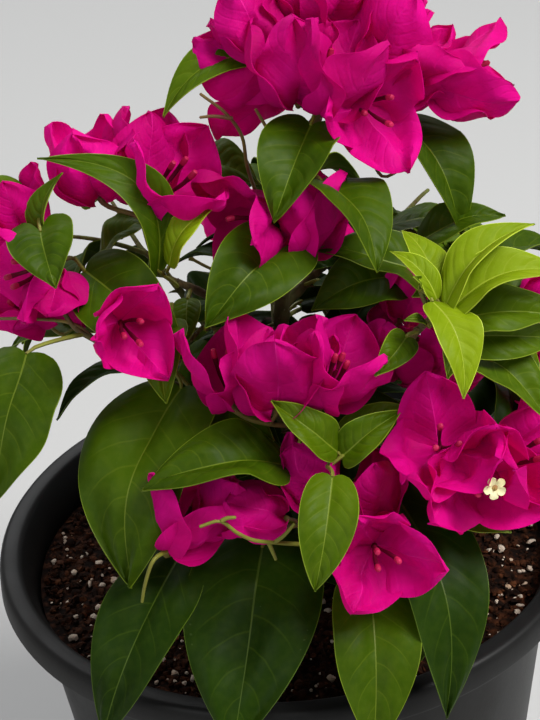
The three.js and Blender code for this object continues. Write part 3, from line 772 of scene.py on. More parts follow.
class Standing:
    """Everything that stands already, so that a new twig or leaf can keep clear of it."""

    def __init__(self) -> None:
        """Starts with nothing."""
        self.owners: list[str] = []
        self.twigs: list[bool] = []
        self.bodies: list[Body] = []
        self.lows = np.empty((0, 3))
        self.highs = np.empty((0, 3))

    def add(self, owner: str, body: Body, twig: bool = False) -> None:
        """Lets one more body stand."""
        self.owners.append(owner)
        self.twigs.append(twig)
        self.bodies.append(body)
        self.lows = np.vstack([self.lows, body.low])
        self.highs = np.vstack([self.highs, body.high])

    def met(self, body: Body, counts: Callable[[int], bool]) -> int:
        """Counts the standing bodies that a body meets.

        Args:
            body: The new body.
            counts: Tells of a standing body's number whether it counts.

        Returns:
            How many it meets.
        """
        near = ((self.lows < body.high) & (self.highs > body.low)).all(1)
        return sum(
            1 for i in np.flatnonzero(near)
            if counts(i) and body.tree.overlap(self.bodies[i].tree)
        )


def in_room(points: Array) -> bool:
    """Tells whether points keep to the room for the bush, clear of the soil and the rim."""
    reach = np.hypot(points[:, 0], points[:, 1])
    level = points[:, 2]
    low = POT.soil_level + ROOM.floor
    over = (reach > POT.rim_inner - ROOM.inside) & (reach < POT.rim_radius + ROOM.outside)
    wrong = (level > ROOM.top) | (level < low) | (over & (level < POT.height + ROOM.rim_clear))
    return not wrong.any()


class Wood(IntEnum):
    """Kinds of thin wood, numbered as the slots of the twigs' piece."""

    STEM = 0
    BRANCH = 1
    FLOWER_STALK = 2
    LEAF_STALK = 3


@dataclass
class Twig:
    """A thin limb of a mass."""

    route: Route
    start: float
    end: float
    wood: Wood


@dataclass
class Leaf:
    """A leaf with its stalk."""

    blade: Blade
    stalk: Route
    mass: str
    fold: Optional[float] = None
    arch: float = 0
    noted: Optional[Triple] = None


@dataclass
class Flower:
    """A flower: its bracts, and the way it opens from its foot."""

    foot: Vector
    axis: Vector
    bracts: list[Blade]

    def key(self) -> Triple:
        """Returns the foot in whole millimetres, by which the flower is noted."""
        return tuple(round(v) for v in self.foot)


@dataclass
class Knot:
    """A place that a twig may leave from, and the way of the wood there."""

    place: Vector
    way: Vector


class Mass:
    """One mass of twigs, leaves and blossom while it grows from its limb."""

    def __init__(self, name: str, plan: Plan, seed: int, standing: Standing) -> None:
        """Takes the plan, the seed and what stands already."""
        self.name, self.plan, self.standing = name, plan, standing
        self.dice = Dice(seed)
        self.knots: list[Knot] = []
        self.twigs: list[Twig] = []
        self.leaves: list[Leaf] = []
        self.flowers: list[Flower] = []

    def crossings(self, plain: Body, grown: Body, twigs: bool = True) -> float:
        """Counts how often a body crosses its own mass.

        Args:
            plain: The body.
            grown: The same body grown by the gap.
            twigs: Whether its own mass's twigs count.

        Returns:
            The count, or infinity where it leaves the room or meets what belongs to others.
        """
        owners, twiggy = self.standing.owners, self.standing.twigs
        if not in_room(plain.points) or self.standing.met(grown, lambda i: owners[i] != self.name):
            return inf
        return self.standing.met(
            plain, lambda i: owners[i] == self.name and (twigs or not twiggy[i])
        )

    def blade_cost(self, blade: Blade, stations: Sequence[float]) -> float:
        """Returns how often a blade crosses its own mass."""
        return self.crossings(blade.body(stations), blade.body(stations, GAP))

    def twig_cost(self, route: Route, start: float, end: float, rings: int) -> float:
        """Returns how often a twig crosses its own mass, apart from its other twigs."""
        plain = limb_body(route, TWIG.sides, rings, start, end)
        grown = limb_body(route, TWIG.sides, rings, start + 2 * GAP, end + 2 * GAP)
        return self.crossings(plain, grown, False)

    def keep_twig(self, route: Route, start: float, end: float, rings: int, wood: Wood) -> None:
        """Lets a twig stand, and notes where others may leave it."""
        self.standing.add(self.name, limb_body(route, TWIG.sides, rings, start, end), True)
        self.twigs.append(Twig(route, start, end, wood))
        steps = max(1, int(route.length() / ROUTE.step + 0.5))
        for i in range(1, steps + 1):
            self.knots.append(Knot(route.at(i / steps), route.way(i / steps)))

    def stem(self, foot: Vector, way: Vector) -> None:
        """Grows the main stem from just beyond the limb's end."""
        start = foot + way * GAP
        places = [start, start + way * TWIG.straight, *self.plan.stems]
        self.keep_twig(Smooth(places), TWIG.stem, TWIG.tip, 2 * len(places) - 2, Wood.STEM)

    def route(self, target: Vector, arrive: Vector) -> Route:
        """Finds the twig to a place from the nearest knot that lies behind it.

        Args:
            target: Where the twig ends.
            arrive: The way it ends.

        Returns:
            The twig's line, straight where a bend would be too sharp.
        """
        def cost(knot: Knot) -> float:
            """Returns how far round it is from a knot to the target, with a turn back made dear."""
            ahead = target - knot.place
            return ahead.length - ROUTE.favour * ahead.dot(knot.way)

        best = min(self.knots, key=cost)
        start = best.place - best.way * TWIG.inside
        ahead = target - start
        bend = min(ahead.length * ROUTE.handle, ROUTE.most)
        ahead.normalize()
        leave = (best.way * ROUTE.leave + ahead).normalized() * bend
        land = (arrive + ahead * ROUTE.land).normalized() * bend
        curve = Bend(start, start + leave, target - land, target)
        return Straight(start, target) if folds(curve, BRACT.cup, 3) else curve

    def leaf(self, plan: Sequence[float]) -> None:
        """Grows a leaf on its stalk, with a twig before the stalk where the mass is far off.

        Args:
            plan: Its foot, turn, pitch, length, width and roll, as the list of the mass gives them.
        """
        x, y, z, turn, pitch, length, width, roll = plan
        stations = LEAF_FINE if length > LEAF_LARGE else LEAF_PLAIN
        thick = max(LEAF_LEAST, length * LEAF_THICK)
        base = Vector((x, y, z))
        best: tuple = (inf,)
        for along, size in tries(turn, pitch):
            blade = Blade(base, along, facing(along, base, roll), length * size, width * size, thick)
            direct = self.route(base, along)
            lead = direct.point(STALK_SHARE)
            ahead = min((lead - direct.point(0)).dot(along), (base - lead).dot(along))
            far = ahead < TWIG.petiole or direct.length() > ROUTE.long
            knot = base - along * TWIG.stalk
            branch = self.route(knot, along) if far else direct
            foot = TWIG.branch if far else TWIG.petiole
            cost = self.blade_cost(blade, stations)
            cost += self.twig_cost(branch, foot, TWIG.tip, TWIG.rings)
            if cost < best[0]:
                best = (cost, blade, direct, far, knot, branch, foot)
            if cost == 0:
                break
        if len(best) == 1:
            stalk = self.route(base, heading(turn, pitch))
        else:
            _, blade, direct, far, knot, branch, foot = best
            if far:
                self.keep_twig(branch, foot, TWIG.tip, TWIG.rings, Wood.BRANCH)
            stalk = Straight(knot - blade.along * TWIG.inside, base) if far else direct
            self.standing.add(self.name, blade.body(stations))
        self.leaves.append(self.shown(plan, stalk))

    def shown(self, plan: Sequence[float], stalk: Route) -> Leaf:
        """Lays a noted leaf as the photograph shows it.

        Args:
            plan: The leaf's entry in the plan.
            stalk: The stalk that the rule gave it.

        Returns:
            The leaf to be shown.
        """
        place, (turn, pitch, length, width, roll) = tuple(plan[:3]), plan[3:]
        across, rise, near, size, breadth, tilt, fold, arch = LEAF_LIES.get(place, AS_GROWN)
        right, up, back = Camera().axes()
        base = Vector(place) + right * across + up * rise + back * near
        along = heading(turn, pitch)
        if across or rise or near:
            start = stalk.at(0)
            stalk = Bend(start, start.lerp(base, 0.3) + UP, base - along * TWIG.straight, base)
        face = facing(along, base, roll + tilt)
        blade = Blade(base, along, face, length * size, width * size * breadth)
        return Leaf(blade, stalk, self.name, fold, arch, place)

    def bracts(self, plan: Sequence[float], axis: Vector, spin: float, scale: float) -> list[Blade]:
        """Gives three bracts round one foot, each leaning out from the way the flower opens.

        Args:
            plan: The flower, as the list of the mass gives it.
            axis: The way it opens.
            spin: How far round the first bract stands.
            scale: The size of the bracts, as a share of the usual one.

        Returns:
            The three blades.
        """
        length = BRACT.length * plan[6] * scale
        made = []
        for part in BRACT.parts:
            out = turned(aside_of(axis, BRACT.steep), axis, plan[5] + spin + part)
            along = axis * cos(radians(BRACT.lean)) + out * sin(radians(BRACT.lean))
            base = Vector(plan[:3]) + out * BRACT.apart - axis * BRACT.root
            made.append(Blade(
                base, along, square_to(axis, along), length, length * BRACT.breadth,
                BRACT.thick, BRACT.fold, BRACT.bow, bract_shape,
            ))
        return made

    def flower(self, plan: Sequence[float], stations: Sequence[float], most: float) -> None:
        """Grows a flower on its stalk. A bract without room is left out, and two at least stay.

        Args:
            plan: The flower, as the list of the mass gives it.
            stations: How fine its bracts are, as shares of their length.
            most: How much may cross for the flower to be grown at all.
        """
        foot, (turn, pitch) = Vector(plan[:3]), plan[3:5]
        best: tuple = (most,)
        for axis, scale in tries(turn, pitch):
            stalk = self.route(foot + axis * BRACT.cup_sink, axis)
            far = stalk.length() > ROUTE.long
            thick, rings = (TWIG.branch, 2) if far else (TWIG.petiole, 1)
            stalk_cost = self.twig_cost(stalk, thick, BRACT.cup, rings)
            for spin in BRACT.spins if stalk_cost < best[0] else ():
                made = self.bracts(plan, axis, spin, scale)
                costs = [self.blade_cost(bract, stations) for bract in made]
                cost = stalk_cost + sum(min(one, BRACT.lost) for one in costs)
                kept = [bract for bract, one in zip(made, costs) if one < inf]
                if cost < best[0] and len(kept) > 1:
                    best = (cost, kept, stalk, thick, rings, axis)
                if best[0] == 0:
                    break
            if best[0] == 0:
                break
        noted = stations is BRACT.stations
        told = heading(turn, pitch)
        if len(best) > 1:
            _, kept, stalk, thick, rings, axis = best
            self.keep_twig(stalk, thick, BRACT.cup, rings, Wood.FLOWER_STALK)
            for bract in kept:
                self.standing.add(self.name, bract.body(stations))
            self.flowers.append(Flower(foot, told if noted else axis, kept))
        elif noted:
            stalk = self.route(foot + told * BRACT.cup_sink, told)
            self.twigs.append(Twig(stalk, TWIG.petiole, BRACT.cup, Wood.FLOWER_STALK))
            self.flowers.append(Flower(foot, told, self.bracts(plan, told, 0, 1)))

    def noted(self) -> None:
        """Grows the leaves and flowers that have a place of their own."""
        for leaf in self.plan.leaves:
            self.leaf(leaf)
        for flower in self.plan.flowers:
            self.flower(flower, BRACT.stations, BRACT.most_crossings)

    def sessile(self, base: Vector, turn: float, pitch: float, length: float) -> None:
        """Grows a leaf whose foot is sunk straight into a shoot, where it crosses nothing.

        Args:
            base: Its foot.
            turn: The way it points, from above, in degrees.
            pitch: How far it points up, in degrees.
            length: Its length.
        """
        for along, size in tries(turn, pitch):
            width = length * size * SHOOT.breadth
            blade = Blade(base, along, facing(along, base, 0), length * size, width)
            free = replace(
                blade, base=base + along * TWIG.stem * SHOOT.sunk, length=blade.length * SHOOT.tested
            )
            if not self.crossings(free.body(SHOOT.stations), blade.body(SHOOT.stations, GAP)):
                self.standing.add(self.name, blade.body(SHOOT.stations))
                self.leaves.append(Leaf(blade, Straight(base, base + along), self.name))
                return

    def shoots(self) -> None:
        """Grows leafy shoots that fan out from the stem, most of them with a flower."""
        if not self.plan.shoots:
            return
        count, turn, pitch, spread, reach, leaves = self.plan.shoots
        start = self.knots[min(2, len(self.knots) - 1)].place
        pick = self.dice.between
        for i in range(count):
            share = 2 * i / (count - 1) - 1 if count > 1 else 0
            aim = turn + spread * share
            rise = pitch + SHOOT.rise * ((i * GOLDEN) % 1 - 0.5)
            end = start + heading(aim, rise) * reach * pick(*SHOOT.reach)
            branch = self.route(end, heading(aim, rise - SHOOT.droop))
            grown = self.twig_cost(branch, TWIG.stem, TWIG.petiole, SHOOT.rings) == 0
            if grown:
                self.keep_twig(branch, TWIG.stem, TWIG.petiole, SHOOT.rings, Wood.BRANCH)
            toward = aim + SHOOT.bloom_turn * pick(-1, 1)
            lift = pick(*SHOOT.bloom_lift)
            foot = end + heading(toward, lift) * SHOOT.bloom_ahead
            bloom = (*foot, toward, lift, pick(0, 120), SHOOT.bloom_size)
            if grown and i % 3 != 1:
                self.flower(bloom, SHOOT.stations, SHOOT.most_crossings)
            for k in range(leaves):
                t = SHOOT.first + (SHOOT.last - SHOOT.first) * k / max(1, leaves - 1)
                away = aim + (1 if (k + i) % 2 else -1) * pick(*SHOOT.away)
                fall = pick(*SHOOT.fall)
                length = SHOOT.leaf * pick(*SHOOT.size)
                if grown:
                    self.sessile(branch.at(t), away, fall, length)


class Inner:
    """What grows on the limbs and twigs between the noted leaves: inner leaves, buds and thorns."""

    NAME = "inner"
    SEED = 431

    def __init__(self, bush: "Bush") -> None:
        """Grows it all where it crosses nothing that stands."""
        self.standing, self.dice = bush.standing, Dice(self.SEED)
        self.twigs: list[Twig] = []
        self.leaves: list[Leaf] = []
        self.flowers: list[Flower] = []
        self.thorns: list[tuple[Vector, Vector, float]] = []
        for name, route in bush.boughs.items():
            self.along(name, route, BOUGH_FOOT, INNER.bough_leaf)
        self.along("trunk", bush.trunk, INNER.trunk_radius, INNER.trunk_leaf)
        for mass in bush.masses:
            self.buds(mass)

    def place(
        self, owner: str, spot: Vector, along: Vector, stalk: float, length: float, breadth: float
    ) -> bool:
        """Grows one leaf on its stalk, if nothing is in its way.

        Args:
            owner: The limb or mass that bears it, which may touch it.
            spot: Where its stalk starts.
            along: The leaf's direction.
            stalk: The stalk's length.
            length: The leaf's length.
            breadth: Its width as a share of its length.

        Returns:
            Whether it grew.
        """
        lead = (along + UP * 0.5).normalized() * stalk
        base = spot + lead
        face = facing(along, base, self.dice.between(-25, 25))
        blade = Blade(base, along, face, length, length * breadth)
        plain, grown = blade.body(LEAF_PLAIN), blade.body(LEAF_PLAIN, INNER.clear)
        owners = self.standing.owners
        if not in_room(plain.points) or self.standing.met(grown, lambda i: owners[i] != owner):
            return False
        self.standing.add(self.NAME, plain)
        route = Bend(spot, spot + lead * 0.5, base - along * stalk * 0.3, base)
        self.leaves.append(Leaf(blade, route, self.NAME))
        return True

    def along(self, owner: str, route: Route, radius: float, size: float) -> None:
        """Grows leaves and thorns on alternate sides along a limb.

        Args:
            owner: The limb's name.
            route: Its middle line.
            radius: Its radius.
            size: The length of a leaf.
        """
        pick = self.dice.between
        count = int(route.length() / INNER.step)
        for k in range(int(count * INNER.first), count):
            t = (k + pick(0.1, 0.9)) / count
            spot, way = route.at(t), route.way(t)
            aside = way.cross(UP).normalized() * (1 if k % 2 else -1)
            out = (aside + UP * pick(-0.6, 0.5) + way * pick(0.1, 0.7)).normalized()
            thorn = (aside + way * 0.4 + UP * pick(-0.5, 0.5)).normalized()
            self.thorns.append((spot, thorn, radius))
            for scale in INNER.scales if spot.z < INNER.bare_above else ():
                length = size * scale * pick(0.85, 1.15)
                along = (out - UP * pick(0.1, 0.6)).normalized()
                foot = spot + out * radius * 0.6
                if self.place(owner, foot, along, INNER.stalk, length, INNER.breadth):
                    break

    def buds(self, mass: Mass) -> None:
        """Grows small young leaves where the twigs of a mass fork.

        Args:
            mass: The mass that is already grown.
        """
        pick = self.dice.between
        for knot in mass.knots[2::4]:
            if any((knot.place - flower.foot).length < INNER.bloom_clear for flower in mass.flowers):
                continue
            aside = aside_of(knot.way) * (1 if self.dice.draw() < 0.5 else -1)
            along = (aside + knot.way * 0.8 + UP * pick(-0.2, 0.7)).normalized()
            self.place(
                mass.name, knot.place, along, INNER.bud_stalk, pick(*INNER.bud), INNER.bud_breadth
            )


class Bush:
    """The whole bush: the trunk's and boughs' routes, and the masses grown on them."""

    FOOT, TIP, FLARE, FLARE_HEIGHT = 5, 2, 3.4, 7
    STEPS = 500
    WATCHED = (0.1, 0.5, 0.95)

    def __init__(self) -> None:
        """Lays the limbs and grows all masses in the order of the plan."""
        self.standing = Standing()
        self.trunk = Smooth(TRUNK_ROUTE)
        self.boughs = {name: Smooth(route) for name, route in BOUGHS.items()}
        self.standing.add("trunk", limb_body(self.trunk, 8, 12, self.FOOT, self.TIP))
        for name, route in self.boughs.items():
            self.standing.add(name, limb_body(route, 5, 4, BOUGH_FOOT, BOUGH_TIP))
        self.masses = [
            Mass(name, plan, seed + 1, self.standing)
            for seed, (name, plan) in enumerate(MASSES.items())
        ]
        for mass in self.masses:
            mass.stem(*self.tip_for(mass.plan))
        for mass in self.masses:
            mass.noted()
        for mass in self.masses:
            mass.shoots()
        self.inner = Inner(self)
        for part in (*self.masses, self.inner):
            part.leaves = [leaf for leaf in part.leaves if leaf.noted or not self.hides_sky(leaf.blade)]
            part.flowers = [
                flower for flower in part.flowers
                if flower.key() in LIES or not any(map(self.hides_sky, flower.bracts))
            ]

    def hides_sky(self, blade: Blade) -> bool:
        """Tells whether a leaf or bract would stand in one of the windows of open sky."""
        for share in self.WATCHED:
            x, y = Camera().seen(blade.base + blade.along * blade.length * share)
            if any(left < x < right and top < y < bottom for left, right, top, bottom in SKY):
                return True
        return False

    def trunk_radius(self, t: float) -> float:
        """Returns the trunk's radius at a share of its length, with the root flare."""
        above = self.trunk.at(t).z - POT.soil_level
        return blend(self.FOOT, self.TIP, t) + self.FLARE * exp(-above / self.FLARE_HEIGHT)

    def tip_for(self, plan: Plan) -> tuple[Vector, Vector]:
        """Gives the place and way that a mass starts from.

        Args:
            plan: The mass's plan.

        Returns:
            The end of its limb, or the trunk's surface at the height that the plan names.
        """
        if isinstance(plan.bough, str):
            route = self.trunk if plan.bough == "trunk" else self.boughs[plan.bough]
            return route.at(1), route.way(1)
        shares = (i / self.STEPS for i in range(self.STEPS + 1))
        t = next(share for share in shares if self.trunk.at(share).z >= plan.bough)
        axis = self.trunk.at(t)
        way = Vector(plan.stems[0]) - axis
        way.z = 0
        way.normalize()
        return axis + way * (self.trunk_radius(t) + GAP), way

    def all(self, kind: str) -> list:
        """Returns the twigs, leaves or flowers of all masses, and those between them, in one list."""
        return [one for part in (*self.masses, self.inner) for one in getattr(part, kind)]


# Meshes of many small things
class Heap:
    """Collects the points, faces, material slots and surface places of one joined piece."""

    SHARP = 48

    def __init__(self) -> None:
        """Starts empty."""
        self.parts: list[tuple[Array, ...]] = []
        self.count = 0

    def add(self, points: Array, faces: Array, slots: Array, places: Array) -> None:
        """Adds one thing.

        Args:
            points: Its points, in millimetres.
            faces: Four point numbers a face, the last one repeated on a triangle.
            slots: The material slot of each face.
            places: The surface place of each point, across and along.
        """
        self.parts.append((points, faces + self.count, slots, places))
        self.count += len(points)

    def piece(self, name: str, materials: Sequence[Material]) -> Piece:
        """Makes one mesh object of all that was added.

        Args:
            name: The piece's name.
            materials: The materials of its slots, in order.

        Returns:
            The object, smooth but for its sharp edges.
        """
        points, faces, slots, places = (np.concatenate(one) for one in zip(*self.parts))
        sizes = np.where(faces[:, 3] == faces[:, 2], 3, 4)
        corners = faces.ravel()[(np.arange(4)[None] < sizes[:, None]).ravel()]
        starts = np.concatenate([[0], np.cumsum(sizes)[:-1]])
        mesh = bpy.data.meshes.new(name)
        mesh.vertices.add(len(points))
        mesh.vertices.foreach_set("co", (points * MM).ravel())
        mesh.loops.add(len(corners))
        mesh.loops.foreach_set("vertex_index", corners)
        mesh.polygons.add(len(faces))
        mesh.polygons.foreach_set("loop_start", starts)
        for material in materials:
            mesh.materials.append(material)
        mesh.polygons.foreach_set("material_index", slots)
        surface = mesh.uv_layers.new(name="Surface")
        surface.data.foreach_set("uv", places[corners].ravel())
        mesh.update(calc_edges=True)
        mesh.validate()
        piece = bpy.data.objects.new(name, mesh)
        bpy.context.scene.collection.objects.link(piece)
        bpy.ops.object.select_all(action="DESELECT")
        piece.select_set(True)
        bpy.context.view_layer.objects.active = piece
        bpy.ops.object.shade_smooth_by_angle(angle=radians(self.SHARP))
        return piece


def grid_faces(rows: int, columns: int, flip: bool) -> Array:
    """Numbers the faces of a grid of points, row by row, or the other way round where flipped."""
    r, c = np.meshgrid(np.arange(rows - 1), np.arange(columns - 1), indexing="ij")
    a = (r * columns + c).ravel()
    quad = np.stack([a, a + 1, a + columns + 1, a + columns], 1)
    return quad[:, ::-1] if flip else quad


@dataclass(frozen=True)
class Cut:
    """The outline of a leaf or bract as it really is.

    The foot spans a share of the full width, with lobes that reach back behind the stalk, then the
    outline rounds out to its widest and tapers to a drawn-out tip.
    """

    foot: float
    back: float
    widest: float
    taper: float
    full: float

    def half(self, t: Array) -> Array:
        """Returns half the width at shares of the length, as a share of the widest."""
        rise = np.clip(1 - t / self.widest, 0, 1)
        fall = np.clip((t - self.widest) / (1 - self.widest), 0, 1)
        rounded = self.foot + (1 - self.foot) * np.sqrt(1 - rise**2)
        return np.where(t < self.widest, rounded, (1 - fall) ** self.taper * (1 + self.full * fall))


LEAF_CUT = Cut(0.36, 0.030, 0.34, 0.98, 1.05)
LOBED_CUT = Cut(0.50, 0.260, 0.24, 1.06, 1.05)
HEART_CUT = Cut(0.54, 0.085, 0.30, 1.04, 1.12)
YOUNG_CUT = Cut(0.20, 0.000, 0.42, 1.00, 0.90)
STAR_CUT = Cut(0.30, 0.0, 0.72, 0.55, 0.30)
BRACT_CUT = Cut(0.40, 0.120, 0.36, 0.86, 1.16)


@dataclass
class Ripple:
    """What makes one blade differ from the next."""

    wave: float
    waves: float
    phase: float
    curl: float
    sweep: float
    fold: float
    puff: float
    flare: float
    crumple: float
    thick: float
    rib: float
    edge: float
    arch: float = 0


@dataclass
class Sheet:
    """A finely modelled blade: a closed thin sheet with a midrib strip and an edge strip."""

    blade: Blade
    ripple: Ripple
    cut: Cut
    rows: int
    strips: int = 4
    least_half: float = 0.13
    rib_sunk: float = 0.35

    def columns(self, half: Array, along: Array) -> Array:
        """Gives the distances from the midrib of each row's points."""
        rib = np.minimum(self.ripple.rib * (1 - 0.8 * along), half * 0.3)
        edge = np.maximum(half - self.ripple.edge, half * 0.72)
        shares = np.linspace(0, 1, self.strips + 2)
        right = rib[:, None] + (edge - rib)[:, None] * shares[None]
        right = np.concatenate([right, half[:, None]], 1)
        return np.concatenate([-right[:, ::-1], right], 1)

    def lift(self, x: Array, t: Array, half: Array) -> Array:
        """Gives how far each point stands off the blade's plane.

        Args:
            x: Share of the half width, below 0 on the left.
            t: Share of the length.
            half: Half the width at each point.

        Returns:
            The distances towards the blade's face.
        """
        blade, ripple = self.blade, self.ripple
        size = np.abs(x)
        swing = np.sin(tau * (ripple.waves * t + ripple.phase) + np.where(x < 0, 1.9, 0.0))
        lift = blade.bow * blade.length * 4 * t * (1 - t) + ripple.curl * blade.length * t**3
        lift += ripple.fold * half * size * np.minimum(1, 0.15 + 2.4 * t)
        lift += ripple.puff * half * np.sin(pi * np.minimum(1, size**0.85)) * (1 - 0.45 * t)
        lift += ripple.flare * half * size * np.maximum(0, 1 - 2.2 * t) ** 2
        roll = np.sin(5.1 * x + 9 * ripple.phase) * np.sin(7.3 * t + 17 * ripple.phase + 1.7 * x)
        lift += ripple.crumple * blade.width * roll * np.minimum(1, 3 * t)
        return lift + ripple.wave * half * size**2.2 * swing * np.minimum(1, 0.3 + 2 * t)

    def surface(self) -> tuple[Array, Array]:
        """Returns the rows of points of the upper side, and each one's place across and along."""
        blade, ripple = self.blade, self.ripple
        even = np.linspace(0, 1, self.rows)
        s = 0.5 * even + 0.25 * (1 - np.cos(pi * even))
        half = np.maximum(self.cut.half(s) * blade.width / 2, self.least_half)
        a = self.columns(half, s)
        t, half = (np.repeat(v[:, None], a.shape[1], 1) for v in (s, half))
        x = a / half
        lobe = self.cut.back * (1 - (1 - np.abs(x)) ** 2) * (1 - t) ** 2
        lift = self.lift(x, t, half)
        lift[:, self.strips + 2:self.strips + 4] -= self.rib_sunk * ripple.rib
        across = np.array(blade.face.cross(blade.along))
        along, face, base = (np.array(v) for v in (blade.along, blade.face, blade.base))
        aside = a + (ripple.sweep * t**2 + ripple.arch * 4 * t * (1 - t)) * blade.length
        shown = base + ((t - lobe) * blade.length)[..., None] * along
        shown = shown + aside[..., None] * across + lift[..., None] * face
        return shown, np.stack([x / 2 + 0.5, t], 2).reshape(-1, 2)

    def add_to(self, heap: Heap, slots: tuple[int, int, int, int]) -> None:
        """Adds the sheet to a heap.

        Args:
            heap: Where it goes.
            slots: Material slots of the upper side, the underside, the midrib and the edge.
        """
        shown, places = self.surface()
        normal = np.cross(np.gradient(shown, axis=0), np.gradient(shown, axis=1))
        normal /= np.maximum(np.linalg.norm(normal, axis=2, keepdims=True), 1e-9)
        flip = bool((normal @ np.array(self.blade.face)).mean() < 0)
        under = shown - (-normal if flip else normal) * self.ripple.thick
        rows, columns = shown.shape[:2]
        count = rows * columns
        strips = np.tile(np.arange(columns - 1), rows - 1)
        outer = (strips == 0) | (strips == columns - 2)
        middle = strips == (columns - 1) // 2
        sides = [np.where(middle, slots[2], np.where(outer, slots[3], slots[k])) for k in (0, 1)]
        ring = np.concatenate([
            np.arange(columns), np.arange(1, rows) * columns + columns - 1,
            (rows - 1) * columns + np.arange(columns - 2, -1, -1), np.arange(rows - 2, 0, -1) * columns,
        ])
        after = np.roll(ring, -1)
        rim = np.stack([ring, ring + count, after + count, after], 1)
        faces = [
            grid_faces(rows, columns, not flip), grid_faces(rows, columns, flip) + count,
            rim if flip else rim[:, ::-1],
        ]
        heap.add(
            np.concatenate([shown.reshape(-1, 3), under.reshape(-1, 3)]), np.concatenate(faces),
            np.concatenate([*sides, np.full(len(rim), slots[3])]), np.concatenate([places, places]),
        )


BUD_FROM = 0.8


def add_tube(
    heap: Heap, route: Route, radius: Callable[[float], float], rings: int, sides: int, slot: int,
    bud: Optional[int] = None,
) -> None:
    """Adds a round tube with closed, rounded ends.

    Args:
        heap: Where it goes.
        route: The middle line.
        radius: The radius at a share of the length.
        rings: How many steps along.
        sides: How many sides.
        slot: Its material slot.
        bud: The material slot of its last stretch, where that is another one.
    """
    turns = np.arange(sides) * tau / sides
    rows, surface = [], []
    for t, place, across, third in frames(route, rings):
        ring = np.outer(np.cos(turns), across) + np.outer(np.sin(turns), third)
        rows.append(place + ring * radius(t))
        surface.append(np.stack([turns / tau, np.full(sides, t)], 1))
    surface.append(np.array([[0.5, 0], [0.5, 1]]))
    ends = [
        np.array(route.at(0) - route.way(0) * radius(0) * 0.5),
        np.array(route.at(1) + route.way(1) * radius(1) * 0.6),
    ]
    k = np.arange(sides)
    n = (k + 1) % sides
    last = rings * sides
    low, high = np.full(sides, last + sides), np.full(sides, last + sides + 1)
    caps = [np.stack([n, k, low, low], 1), np.stack([last + k, last + n, high, high], 1)]
    shares = np.array([*((np.arange(rings) + 0.5) / rings), 0, 1])
    slots = np.where(shares > BUD_FROM, slot if bud is None else bud, slot)
    heap.add(
        np.concatenate([*rows, np.array(ends)]), np.concatenate([wall_faces(rings, sides), *caps]),
        np.repeat(slots, sides), np.concatenate(surface),
    )


# Materials
def maths(operation: str, flip: bool = False) -> Callable[..., "Value"]:
    """Makes an operator of Value.

    Args:
        operation: The Math node's operation.
        flip: Whether the other number comes first.

    Returns:
        A method that adds one Math node.
    """
    def act(self: "Value", *others: "float | Value") -> "Value":
        """Adds the node. With flip, the other number comes before this one."""
        values = (*others, self) if flip else (self, *others)
        return self.bench.value("ShaderNodeMath", {"operation": operation}, dict(enumerate(values)))

    return act


class Value:
    """A number in a material that takes part in sums like any other number."""

    __add__ = __radd__ = maths("ADD")
    __mul__ = __rmul__ = maths("MULTIPLY")
    __sub__, __rsub__ = maths("SUBTRACT"), maths("SUBTRACT", True)
    __pow__ = maths("POWER")
    size = maths("ABSOLUTE")
    swing = maths("PINGPONG")

    def __init__(self, bench: "Bench", socket: bpy.types.NodeSocket) -> None:
        """Wraps a socket."""
        self.bench, self.socket = bench, socket

    def ramp(self, low: float, high: float) -> "Value":
        """Returns 0 below the first number, 1 above the second, and a smooth step between."""
        return self.bench.value(
            "ShaderNodeMapRange", {"interpolation_type": "SMOOTHSTEP"},
            {"Value": self, "From Min": low, "From Max": high},
        )


Colour = tuple[float, float, float]


